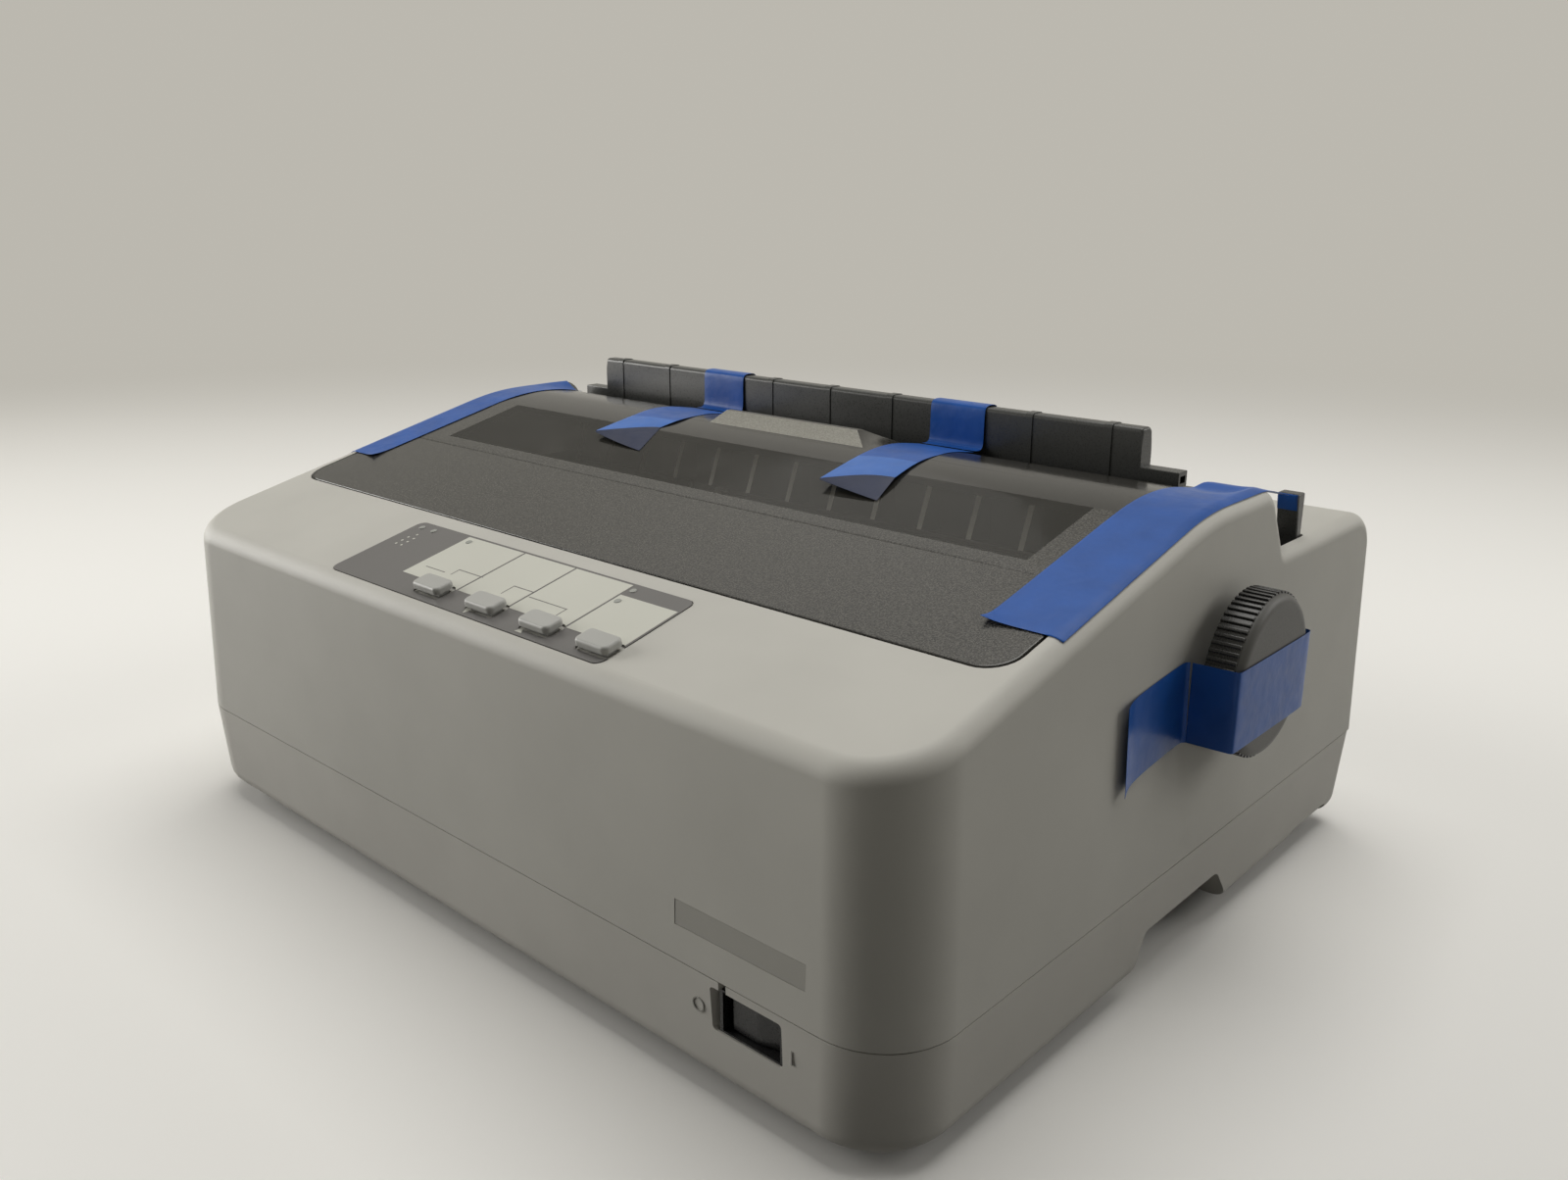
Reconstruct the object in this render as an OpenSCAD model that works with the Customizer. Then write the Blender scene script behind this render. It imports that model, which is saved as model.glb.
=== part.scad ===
// Dot matrix printer for the desk: a two-part plastic case with a smoked cover hinged
// along its front edge, and the paper, head and tractor mechanism that it holds.
// Frame: +X towards the knob side, -Y towards the control panel, +Z up, z = 0 on the table.
// Every module is drawn about the middle of the case, and at_case() moves it into the frame.

/* [Case] */
// Width of the case without the knob
case_w = 348; // [346:1:350]
// Depth of the case
case_d = 275; // [275:1:278]
// Height of the line where the upper case meets the lower case
part_z = 38; // [37.5:0.5:38.5]
// Height of the underside of the lower case above the table
base_z = 5; // [4.5:0.5:5.5]
// Wall thickness of both case halves
wall = 2.6; // [2.4:0.1:2.8]
// Radius of the upright corners at the front
front_corner_r = 23; // [20:1:24]
// Radius of the upright corners at the back
rear_corner_r = 7; // [5:1:8]
// Height of the sloping deck at the front edge
deck_front_z = 108; // [107.5:0.5:108.5]
// Angle of the sloping deck
deck_angle = 13.63; // [13.5:0.01:13.8]
// Height of the highest part of the case
top_z = 142.3; // [142:0.1:142.5]
// Height of the flat behind the paper slot
plateau_z = 120.5; // [120:0.5:121]

/* [Cover] */
// Width of the cover
cover_w = 328; // [326:1:328]
// Front edge of the cover, from the middle of the case
cover_front_y = -87.6; // [-87.8:0.1:-87.4]
// Thickness of the cover
cover_t = 2.6; // [2.4:0.1:2.6]

/* [Paper path] */
// Radius over the rubber of the platen
platen_r = 17; // [16.5:0.1:17]
// How far the knob stands out from the case
knob_out = 14; // [14:1:15]
// Radius of the platen knob
knob_r = 25; // [24:1:25]
// Left end of the paper separator wall
separator_left = -150; // [-150:1:-148]
// Right end of the paper separator wall
separator_right = 121; // [119:1:121]
// Height of the top of the paper separator
separator_top = 154; // [153:0.5:154]

/* [Head and carriage] */
// Place of the head at its left end of travel
head_x = -104; // [-104:1:-102]
// Travel of the carriage
head_travel = 205; // [203:1:206]

/* [Hidden] */
$fn = 48;
arc_steps = 6;

// ---- case outline ----
half_w = case_w / 2;
half_d = case_d / 2;
deck_slope = tan(deck_angle);
deck_front_y = -134;
draft_angle = 1.78;
draft = tan(draft_angle);
lower_draft = 0.066;
hump_rear_y = 47.5;
slope_foot_y = 58;
rear_lean = 0.006;
parting_gap = 0.3;
// depth of the band under the deck that carries the cover's ledge
band = 6.2;
band_front_y = -98;
// ---- openings in the upper case ----
cover_gap = 0.5;
ledge_depth = 3.4;
bay_left = -154;
bay_right = 150;
bay_front_y = -74;
well_left = -156;
well_right = 136;
well_rear_y = 131;
well_z = 111.5;
seat_z = 107.5;
// ---- cover ----
cover_corner_r = 14;
cover_rear_y = 50;
hinge_y = -83.5;
hinge_drop = 4.4;
hinge_z = deck_front_z + (hinge_y - deck_front_y) * deck_slope - hinge_drop;
hinge_pin_r = 2;
hinge_bore_r = 2.06;
hinge_x = 154.5;
hinge_end = 166.5;
// ---- platen and gear train ----
platen_y = 20;
platen_z = 94;
shaft_r = 5;
running = 0.05;
frame_left_x = -156;
frame_right_x = 140;
sheet_t = 1.5;
gear_x = 144.5;
gear_w = 6;
gear_m = 1;
platen_teeth = 40;
idler_teeth = 30;
pinion_teeth = 12;
tractor_idler_teeth = 40;
tractor_teeth = 28;
platen_c = [platen_y, platen_z];
idler_angle = -115;
pinion_angle = -60;
tractor_idler_angle = -20;
tractor_angle = 15;
idler_c = step_from(platen_c, (platen_teeth + idler_teeth) / 2 * gear_m, idler_angle);
pinion_c = step_from(idler_c, (idler_teeth + pinion_teeth) / 2 * gear_m, pinion_angle);
tractor_idler_c = step_from(platen_c, (platen_teeth + tractor_idler_teeth) / 2 * gear_m,
    tractor_idler_angle);
tractor_c = step_from(tractor_idler_c, (tractor_idler_teeth + tractor_teeth) / 2 * gear_m,
    tractor_angle);
platen_phase = 0;
idler_phase = mesh_phase(platen_phase, platen_teeth, idler_teeth, idler_angle);
pinion_phase = mesh_phase(idler_phase, idler_teeth, pinion_teeth, pinion_angle);
tractor_idler_phase = mesh_phase(platen_phase, platen_teeth, tractor_idler_teeth,
    tractor_idler_angle);
tractor_phase = mesh_phase(tractor_idler_phase, tractor_idler_teeth, tractor_teeth,
    tractor_angle);
// ---- pinch rollers ----
pinch_r = 5;
pinch_c = step_from(platen_c, platen_r + pinch_r + 0.3, -62);
pinch_xs = [-126, -84, -42, 0, 42, 84, 112];
pinch_len = 14;
// ---- head, carriage and ribbon ----
rod_y = -24;
rod_z = 68;
rod_r = 4;
rail_z = 57.5;
belt_y = -34;
belt_w = 6;
belt_z = 44;
belt_t = 1.2;
pulley_r = 7;
drive_x = head_x - 32;
idler_x = head_x + head_travel + 17;
motor_y = -26;
// ---- tractors ----
tractor_left_x = -118;
tractor_right_x = 92;
support_y = 106;
support_z = 86;
square = 6;
sprocket_r = 10;
// ---- sheet guide ----
guide_pivot_y = 71;
guide_pivot_z = 120;
guide_rear_y = 129;
// ---- levers ----
lever_y = 75;
lever_z = 108.5;
lever_x = 160;
gap_x = -153.5;
gap_y = -6;
gap_z = 92;
// ---- controls ----
button_xs = [-18.5, 8.8, 35, 60.3];
button_y = -124.6;
button_w = 13.5;
button_d = 7.2;
panel_left = -69.9;
panel_right = 67.1;
panel_front_y = -131;
panel_rear_y = -94.7;
rocker_x = 127.3;
rocker_z = 29;
rocker_tilt = 7;
rocker_h = 11;
rocker_y = -127;
// ---- lower case ----
cut_x = 161.5;
post_x = 164.5;
post_r = 4.2;
screw_r = 1.6;
head_seat_z = 28;
post_ys = [-100, 66];
floor_z = base_z + wall;
pan_z = 12;
board_z = 18;

function unit(v) = v / norm(v);
function step_from(c, r, a) = [c.x + r * cos(a), c.y + r * sin(a)];
function deck_z(y) = deck_front_z + (y - deck_front_y) * deck_slope;
// half width of the drafted case at a height
function half_at(z) = half_w - (z - part_z) * draft;
// points of one rounded corner between three points of an outline
function corner(a, b, c, r) = r <= 0 ? [b] :
    let (p = unit(a - b), q = unit(c - b), half = acos(p * q) / 2)
    let (start = b + p * r / tan(half), end = b + q * r / tan(half))
    let (m = b + unit(p + q) * r / sin(half))
    let (a0 = atan2(start.y - m.y, start.x - m.x), a1 = atan2(end.y - m.y, end.x - m.x))
    let (turn = a1 - a0 > 180 ? a1 - a0 - 360 : a1 - a0 < -180 ? a1 - a0 + 360 : a1 - a0)
    [for (i = [0 : arc_steps]) step_from(m, r, a0 + turn * i / arc_steps)];
// an outline of [x, y, radius] points with its corners rounded
function rounded(pts) = let (n = len(pts)) [for (i = [0 : n - 1])
    each corner([pts[(i + n - 1) % n].x, pts[(i + n - 1) % n].y], [pts[i].x, pts[i].y],
        [pts[(i + 1) % n].x, pts[(i + 1) % n].y], pts[i].z)];
function box_outline(x0, x1, y0, y1, r) = rounded([[x0, y0, r], [x1, y0, r], [x1, y1, r],
    [x0, y1, r]]);
// turn of a gear that puts its gap opposite the other gear's tooth
function mesh_phase(phase, n, m, a) = a + 180 - (0.5 - (a - phase) * n / 360) * 360 / m;
function gear_points(n, phase) = [for (i = [0 : n - 1]) let (p = 360 / n, r = n * gear_m / 2)
    each [for (c = [[-0.3, -1.2], [-0.13, 0.9], [0.13, 0.9], [0.3, -1.2]])
        step_from([0, 0], r + c.y * gear_m, phase + (i + c.x) * p)]];
// where the drafted front wall meets the deck, both moved in by t
function edge_y(t) = (-half_d + t + (deck_front_z - deck_slope * deck_front_y
    - t / cos(deck_angle) - part_z) * draft) / (1 - deck_slope * draft);

module at_case() {
    translate([-knob_out / 2, 0, 0]) children();
}

// an outline in y and z, run along x
module along_x(x0, x1) {
    translate([x0, 0, 0]) rotate([90, 0, 90]) linear_extrude(x1 - x0) children();
}

// an outline in x and z, run along y
module along_y(y0, y1) {
    translate([0, y1, 0]) rotate([90, 0, 0]) linear_extrude(y1 - y0) children();
}

module block(x0, x1, y0, y1, z0, z1) {
    translate([x0, y0, z0]) cube([x1 - x0, y1 - y0, z1 - z0]);
}

module rod_x(x0, x1, y, z, r) {
    translate([x0, y, z]) rotate([0, 90, 0]) cylinder(h = x1 - x0, r = r);
}

module rod_y(x, z, y0, y1, r) {
    translate([x, y1, z]) rotate([90, 0, 0]) cylinder(h = y1 - y0, r = r);
}

// shape laid on the sloping deck: x across, y up the slope from y = at, z square to it
module on_deck(at) {
    translate([0, at, deck_z(at)]) rotate([deck_angle, 0, 0]) children();
}

module plan(t) {
    polygon(rounded([[-half_w + t, -half_d + t, front_corner_r - t],
        [half_w - t, -half_d + t, front_corner_r - t],
        [half_w - t, half_d - t, rear_corner_r - t],
        [-half_w + t, half_d - t, rear_corner_r - t]]));
}

// ---- case shells ----

module outer_side() {
    polygon(rounded([[-half_d, part_z, 0],
        [edge_y(0), deck_z(edge_y(0)), 4],
        [deck_front_y + (top_z - deck_front_z) / deck_slope, top_z, 100],
        [hump_rear_y, top_z, 7],
        [slope_foot_y, plateau_z, 1.5],
        [half_d - (plateau_z - part_z) * rear_lean, plateau_z, 9],
        [half_d, part_z, 0]]));
}

module inner_side() {
    drop = wall / cos(deck_angle);
    deep = band / cos(deck_angle);
    polygon([[-half_d + wall, part_z - 1],
        [edge_y(wall), deck_z(edge_y(wall)) - drop],
        [band_front_y, deck_z(band_front_y) - drop],
        [band_front_y, deck_z(band_front_y) - deep],
        [deck_front_y + (top_z - deck_front_z) / deck_slope, top_z - deep],
        [hump_rear_y - wall - 2, top_z - deep],
        [slope_foot_y - wall - 1, plateau_z - wall],
        [half_d - wall - 1, plateau_z - wall],
        [half_d - wall, part_z - 1]]);
}

module drafted_front(t, z0, z1) {
    polygon([[-half_at(z0) + t, z0], [half_at(z0) - t, z0], [half_at(z1) - t, z1],
        [-half_at(z1) + t, z1]]);
}

module cover_plan(grow) {
    polygon(rounded([[-cover_w / 2 - grow, cover_front_y - grow, cover_corner_r + grow],
        [cover_w / 2 + grow, cover_front_y - grow, cover_corner_r + grow],
        [cover_w / 2 + grow, cover_rear_y + grow + 12, 0],
        [-cover_w / 2 - grow, cover_rear_y + grow + 12, 0]]));
}

// the strip under the case's top surface from depth d0 to depth d1, its rear edge grown by g
module skin_side(d0, d1, g) {
    knee_y = deck_front_y + (top_z - deck_front_z) / deck_slope;
    front = cover_front_y - 3;
    polygon([[front, deck_z(front) - d0], [knee_y - 12, deck_z(knee_y - 12) - d0],
        [knee_y + 12, top_z - d0], [hump_rear_y - 5, top_z - d0],
        [cover_rear_y - 1 + g, top_z - 2.6 - d0], [cover_rear_y + 0.6 + g, top_z - 6 - g],
        [cover_rear_y - 1.4 - g, top_z - 6.9 - g], [hump_rear_y - 6, top_z - d1],
        [knee_y + 12, top_z - d1], [knee_y - 12, deck_z(knee_y - 12) - d1],
        [front, deck_z(front) - d1]]);
}

module upper_case() {
    color([0.74, 0.73, 0.69]) at_case() difference() {
        union() {
            difference() {
                intersection() {
                    along_x(-half_w, half_w) outer_side();
                    along_y(-half_d - 1, half_d + 1) drafted_front(0, part_z, top_z + 1);
                    translate([0, 0, part_z]) linear_extrude(top_z) plan(0);
                }
                intersection() {
                    along_x(-half_w, half_w) inner_side();
                    along_y(-half_d, half_d) drafted_front(wall, part_z - 1, top_z);
                    translate([0, 0, part_z - 1]) linear_extrude(top_z) plan(wall);
                }
            }
            // screw posts
            for (side = [-1, 1], y = post_ys) {
                translate([side * post_x, y, part_z]) cylinder(h = 22, r = post_r);
                block(side * (post_x + 5) - 3, side * (post_x + 5) + 3, y - 1, y + 1,
                    part_z, part_z + 22);
            }
            // posts that hold the panel board
            for (x = [-50, 50], y = [6, 31])
                on_deck(panel_front_y) translate([x, y, -12]) cylinder(h = 11, r = 2.2);
            // lugs that carry the cover's hinge pins
            for (side = [-1, 1])
                block(side * hinge_end - 5, side * hinge_end + 5, hinge_y - 4.5,
                    hinge_y + 4.5, hinge_z - 4.5, hinge_z + 1);
            // ears that carry the sheet guide's pins
            for (x = [well_left - 2.5, well_right - 7])
                block(x, x + 3.5, guide_pivot_y - 6, guide_pivot_y + 6, guide_pivot_z - 5.5,
                    guide_pivot_z + 5);
            // seats of the separator's legs, hung from the edges of the paper well
            block(well_left - 4, separator_left + 1, 56, 66, seat_z - 2, well_z - 0.1);
            block(well_left - 4, well_left - 0.2, 56, 66, seat_z - 2, plateau_z - 1);
            block(separator_right, well_right + 3, 56, 63.9, seat_z - 2, well_z - 0.1);
            block(well_right + 0.2, well_right + 3, 56, 63.9, seat_z - 2, plateau_z - 1);
            // boss round the knob shaft
            rod_x(half_at(platen_z) - 7, half_at(platen_z) - 1, platen_y, platen_z, 12);
        }
        // recess for the cover and the bay below it
        intersection() {
            along_x(-half_w, half_w) skin_side(-8, ledge_depth, 0.6);
            translate([0, 0, part_z]) linear_extrude(top_z) cover_plan(cover_gap);
        }
        block(bay_left, bay_right, bay_front_y, slope_foot_y + 4, part_z + 30, top_z + 8);
        // groove in which the cover's front edge turns
        translate([0, hinge_y, hinge_z]) rotate([0, 90, 0]) rotate_extrude()
            polygon([[0, -162.4], [5.8, -162.4], [5.4, -161], [5.3, -160], [5.6, -158],
                [5.95, -156], [6.3, -153], [6.45, -150], [6.45, 150], [6.3, 153],
                [5.95, 156], [5.6, 158], [5.3, 160], [5.4, 161], [5.8, 162.4], [0, 162.4]]);
        rod_x(-hinge_end - 0.5, hinge_end + 0.5, hinge_y, hinge_z, hinge_bore_r);
        // paper well at the back
        block(well_left, well_right - 7, slope_foot_y - 16, well_rear_y, well_z, top_z + 8);
        block(well_right - 8, well_right, slope_foot_y - 16, guide_pivot_y - 7, well_z,
            top_z + 8);
        for (x = [separator_left - 4, separator_right + 1])
            block(x - 0.15, x + 4.15, 58.35, 63.65, seat_z, well_z + 1);
        rod_x(well_left - 10, well_right - 2, guide_pivot_y, guide_pivot_z, 3.05);
        // slot for the release lever
        block(lever_x - 1, lever_x + 8, 61, 89, plateau_z - 8, plateau_z + 1);
        // hole for the knob shaft
        rod_x(half_w - 16, half_w + 1, platen_y, platen_z, 8);
        // pilot holes in the posts
        for (side = [-1, 1], y = post_ys)
            translate([side * post_x, y, part_z - 1]) cylinder(h = 18, r = screw_r + 0.03);
        // button and lamp holes in the deck
        for (x = button_xs)
            on_deck(button_y) translate([x - button_w / 2 + 1.3, -button_d / 2 + 1.3, -8])
                cube([button_w - 2.6, button_d - 2.6, 12]);
        // shallow bed of the control panel sheet
        on_deck(panel_front_y) translate([panel_left - 0.2, -0.2, -0.5])
            cube([panel_right - panel_left + 0.4, panel_len() + 0.4, 5]);
        // shallow pocket of the plate on the front
        block(101, 146, -half_d - 1, -half_d + 0.95, 48, 55.3);
    }
}

function panel_len() = (panel_rear_y - panel_front_y) / cos(deck_angle);

// tapping screws of the case, the frames and the boards
module screws() {
    color([0.78, 0.78, 0.8]) at_case() {
        for (side = [-1, 1], y = post_ys) {
            translate([side * post_x, y, head_seat_z - 2.2]) cylinder(h = 2.2, r = 2.9);
            translate([side * post_x, y, head_seat_z - 0.5])
                cylinder(h = part_z + 16 - head_seat_z, r = screw_r);
        }
        for (x = [-144, 12], y = [-10, 120]) board_screw(x, y);
        for (x = [36, 130], y = [-84, 108]) board_screw(x, y);
    }
}

module board_screw(x, y) {
    translate([x, y, board_z + 1.6]) cylinder(h = 2, r = 2.8);
}

module lower_form(t) {
    bottom = half_w - (part_z - base_z) * lower_draft;
    intersection() {
        along_y(-half_d - 1, half_d + 1) polygon(rounded([[-half_w + t, part_z, 0],
            [-bottom + t, base_z + t, 9], [bottom - t, base_z + t, 9],
            [half_w - t, part_z, 0]]));
        along_x(-half_w - 1, half_w + 1) polygon(rounded([[-half_d + t, part_z, 0],
            [-half_d + t + 1.5, base_z + t, 7], [half_d - t - 1.5, base_z + t, 5],
            [half_d - t, part_z, 0]]));
        linear_extrude(part_z - parting_gap) plan(t);
    }
}

// hand and cable cut-outs low in both sides
module side_cut(grow) {
    for (side = [0, 1]) mirror([side, 0, 0]) {
        along_x(cut_x - grow, half_w + 2) polygon(rounded([[-23 - grow, base_z - 3, 0],
            [-17 - grow, 21 + grow, 8], [30 + grow, 21 + grow, 4],
            [46 + grow, base_z - 3, 0]]));
        along_x(cut_x - grow, half_w + 2) polygon(rounded([[87 - grow, base_z - 3, 0],
            [93 - grow, 11 + grow, 4], [124 + grow, 11 + grow, 3],
            [130 + grow, base_z - 3, 0]]));
    }
}

module lower_case() {
    color([0.66, 0.65, 0.61]) at_case() difference() {
        union() {
            difference() {
                lower_form(0);
                difference() {
                    lower_form(wall);
                    side_cut(wall);
                }
                translate([0, 0, part_z - parting_gap - 3]) linear_extrude(10) plan(wall);
            }
            for (side = [-1, 1], y = post_ys)
                translate([side * post_x, y, floor_z - 1])
                    cylinder(h = part_z - parting_gap - floor_z + 1, r = post_r);
            // standoffs of the chassis
            for (x = [-140, 120], y = [-90, 100])
                translate([x, y, floor_z - 1]) cylinder(h = pan_z - floor_z + 1, r = 6);
        }
        side_cut(0);
        // screw holes
        for (side = [-1, 1], y = post_ys) {
            translate([side * post_x, y, base_z - 1])
                cylinder(h = head_seat_z - base_z + 1, r = 3.3);
            translate([side * post_x, y, base_z - 1]) cylinder(h = 40, r = 1.9);
        }
        // window of the power switch
        along_y(-half_d - 1, -half_d + wall + 1) polygon(box_outline(
            rocker_x - 11.2, rocker_x + 11.2, rocker_z - 6.4, rocker_z + 6.4, 1.2));
        // rear windows of the mains inlet and the sockets
        block(96, 126, half_d - 8, half_d + 1, 12.5, 33.5);
        block(-143, -81, half_d - 8, half_d + 1, 19.7, 34);
        block(-71, -37, half_d - 8, half_d + 1, 19.7, 33);
        block(-27, -12, half_d - 8, half_d + 1, 19.7, 32);
        // sockets of the rubber feet
        for (x = [-138, 138], y = [-112, 70])
            translate([x, y, base_z - 1]) cylinder(h = 2.2, r = 9.3);
    }
}

module rubber_feet() {
    color([0.13, 0.13, 0.13]) at_case() for (x = [-138, 138], y = [-112, 70])
        translate([x, y, 0]) cylinder(h = base_z + 1.2, r = 9);
}

// ---- cover, separator and sheet guide ----

module printer_cover() {
    color([0.2, 0.19, 0.18]) at_case() {
        difference() {
            intersection() {
                along_x(-half_w, half_w) skin_side(0, cover_t, 0);
                translate([0, 0, part_z]) linear_extrude(top_z) cover_plan(0);
            }
            // the front corners are thinned from below, where they turn past the case
            for (x = [-half_w, cover_w / 2 - 2.6])
                along_x(x, x + half_w - cover_w / 2 + 2.6) polygon([
                    [cover_front_y - 2, deck_z(cover_front_y - 2) - 4],
                    [-70, deck_z(-70) - 4], [-70, deck_z(-70) - 1],
                    [cover_front_y - 2, deck_z(cover_front_y - 2) - 1]]);
        }
        // lift tab at the back
        along_x(-36, 44) polygon([[14, top_z - 1], [20, top_z + 4], [40, top_z + 4],
            [44, top_z - 1]]);
        // hinge arms and pins
        for (side = [-1, 1]) {
            block(side * hinge_x - 2.5, side * hinge_x + 2.5, hinge_y - 2.2, hinge_y + 3,
                hinge_z - 2.6, hinge_z + 4.2);
            rod_x(side * (hinge_end - 5) - 5, side * (hinge_end - 5) + 5, hinge_y,
                hinge_z, hinge_pin_r);
        }
    }
}

module paper_separator() {
    color([0.24, 0.24, 0.23]) at_case() {
        difference() {
            along_x(separator_left, separator_right) polygon(rounded([[57.5, 126, 1],
                [64.5, 126, 1], [65, separator_top, 3], [57.5, separator_top, 3]]));
            // hollow behind the front wall
            along_x(separator_left + 2.5, separator_right - 2.5)
                polygon([[60, 120], [66, 120], [66, 149], [60, 151]]);
        }
        // end stubs
        difference() {
            block(separator_left - 15, separator_left + 1, 57.5, 64, 134, 139.5);
            block(separator_left - 16, separator_left - 4, 59, 62.5, 135.5, 138);
        }
        difference() {
            block(separator_right - 1, separator_right + 14, 57.5, 64, 137, 142.5);
            block(separator_right + 3, separator_right + 15, 59, 62.5, 138.5, 141);
        }
        // legs that stand in the frames
        for (x = [separator_left - 4, separator_right + 1])
            block(x, x + 4, 58.5, 63.5, seat_z + 0.1, 139);
        // fine bands over the wall
        for (x = [-133, -104, -43, -13, 20, 75, 110])
            block(x - 0.7, x + 0.7, 57, 58, 127, separator_top - 3.5);
    }
}

module sheet_guide() {
    color([0.24, 0.24, 0.23]) at_case() difference() {
        union() {
            along_x(well_left + 2, well_right - 9) polygon([[68, 119.5], [68, 122.5],
                [guide_rear_y, 119.8], [guide_rear_y, 116.8]]);
            // ribs that the sheet slides on
            for (x = [-140 : 22 : 110])
                along_x(x - 0.8, x + 0.8) polygon([[70, 121], [70, 123.6],
                    [guide_rear_y - 1, 121.2], [guide_rear_y - 1, 118.5]]);
            rod_x(well_left - 1.5, well_right - 4.5, guide_pivot_y, guide_pivot_z, 3);
        }
        // tracks of the edge guides
        for (x = [[-130, -76], [50, 100]])
            block(x[0], x[1], 96, 99, 114, 126);
    }
}

module edge_guide(x) {
    along_x(x - 5, x + 5) polygon([[78, 124], [78, 130], [104, 128.6], [104, 122.9]]);
    block(x - 5, x + 5, 96.2, 98.8, 118.6, 124);
}

module edge_guide_left() {
    color([0.2, 0.2, 0.2]) at_case() edge_guide(-123);
}

module edge_guide_right() {
    color([0.2, 0.2, 0.2]) at_case() edge_guide(92);
}

// ---- controls ----

module control_panel_sheet() {
    color([0.36, 0.36, 0.37]) at_case() difference() {
        on_deck(panel_front_y) translate([0, 0, -0.5]) linear_extrude(0.7)
            polygon(box_outline(panel_left, panel_right, 0, panel_len(), 3));
        for (x = button_xs)
            on_deck(button_y) translate([x, 0, -3]) linear_extrude(6)
                polygon(box_outline(-button_w / 2 - 0.4, button_w / 2 + 0.4,
                    -button_d / 2 - 0.4, button_d / 2 + 0.4, 2));
    }
}

module panel_board() {
    color([0.16, 0.36, 0.2]) at_case() {
        on_deck(panel_front_y) translate([panel_left + 4, 2, -13.6])
            cube([panel_right - panel_left - 8, panel_len() - 2, 1.6]);
        for (x = button_xs)
            on_deck(button_y) translate([x - 3, -3, -12.2]) cube([6, 6, 4]);
        // lamps
        for (x = [-64.4, -58.5, -36.7, 44.2])
            on_deck(-98.2) translate([x, 0, -12.2]) cylinder(h = 5, r = 1.5);
    }
}

module button(i) {
    color([0.7, 0.7, 0.68]) at_case() on_deck(button_y) translate([button_xs[i], 0, 0]) {
        translate([0, 0, 1.1]) linear_extrude(2.2) polygon(box_outline(-button_w / 2,
            button_w / 2, -button_d / 2, button_d / 2, 2));
        translate([-button_w / 2 + 1.6, -button_d / 2 + 1.6, -6.4])
            cube([button_w - 3.2, button_d - 3.2, 7.6]);
    }
}

module button_1() {
    button(0);
}

module button_2() {
    button(1);
}

module button_3() {
    button(2);
}

module button_4() {
    button(3);
}

module power_switch_body() {
    color([0.08, 0.08, 0.08]) at_case() difference() {
        along_y(-half_d + 1.2, -half_d + 24) polygon(box_outline(rocker_x - 11,
            rocker_x + 11, rocker_z - 6.2, rocker_z + 6.2, 0.8));
        block(rocker_x - 9.9, rocker_x + 9.9, -half_d - 1, -half_d + 17, rocker_z - 5.7,
            rocker_z + 5.7);
        translate([rocker_x, rocker_y, rocker_z - 6]) cylinder(h = 12, r = 1.55);
    }
}

module power_rocker() {
    color([0.06, 0.06, 0.06]) at_case() translate([rocker_x, rocker_y, rocker_z - 5.5]) {
        rotate([0, 0, rocker_tilt]) linear_extrude(rocker_h) polygon([[-9, -6.5],
            [-0.6, -7.6], [0.6, -7.6], [9, -6.5], [8, -3], [3, 3], [-3, 3], [-8, -3]]);
        translate([0, 0, -0.4]) cylinder(h = rocker_h + 0.8, r = 1.5);
    }
}

// ---- platen and feed gears ----

module gear(c, n, phase, bore) {
    translate([gear_x, c.x, c.y]) rotate([90, 0, 90]) difference() {
        linear_extrude(gear_w) polygon(gear_points(n, phase));
        translate([0, 0, -1]) cylinder(h = gear_w + 2, r = bore);
    }
}

module platen_shaft() {
    color([0.7, 0.7, 0.72]) at_case()
        rod_x(frame_left_x - 6, half_w + 6, platen_y, platen_z, shaft_r);
}

module platen_roller() {
    color([0.1, 0.1, 0.1]) at_case() difference() {
        rod_x(-150, 132, platen_y, platen_z, platen_r);
        rod_x(-151, 133, platen_y, platen_z, shaft_r);
    }
}

module platen_gear() {
    color([0.9, 0.9, 0.86]) at_case() gear(platen_c, platen_teeth, platen_phase, shaft_r);
}

module platen_bushings() {
    color([0.9, 0.9, 0.86]) at_case() for (x = [frame_left_x, frame_right_x])
        difference() {
            union() {
                rod_x(x - 2, x + sheet_t + 2, platen_y, platen_z, 8);
                rod_x(x - 2, x, platen_y, platen_z, 10);
            }
            rod_x(x - 3, x + 5, platen_y, platen_z, shaft_r + running);
        }
}

module platen_knob() {
    color([0.2, 0.2, 0.19]) at_case() {
        difference() {
            translate([176.5, platen_y, platen_z]) rotate([0, 90, 0])
                rotate_extrude($fn = 72) polygon([[shaft_r, 0], [knob_r - 1, 0],
                    [knob_r, 1], [knob_r, 9.5], [knob_r - 0.6, 10.9], [knob_r - 2, 11.5],
                    [0, 11.5], [0, 3.5], [shaft_r, 3.5]]);
            // grip grooves round the rim
            for (i = [0 : 35])
                translate([175, platen_y, platen_z]) rotate([i * 10, 0, 0])
                    translate([0, knob_r - 0.6, -0.8]) cube([10.5, 2, 1.6]);
        }
        difference() {
            rod_x(173.5, 177, platen_y, platen_z, 7.4);
            rod_x(172, 178, platen_y, platen_z, shaft_r);
        }
    }
}

module feed_idler_gear() {
    color([0.9, 0.9, 0.86]) at_case() gear(idler_c, idler_teeth, idler_phase, 3.05);
}

module feed_pinion() {
    color([0.75, 0.65, 0.35]) at_case() {
        gear(pinion_c, pinion_teeth, pinion_phase, 1.5);
        rod_x(frame_right_x - 8, gear_x + gear_w, pinion_c.x, pinion_c.y, 1.5);
    }
}

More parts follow.
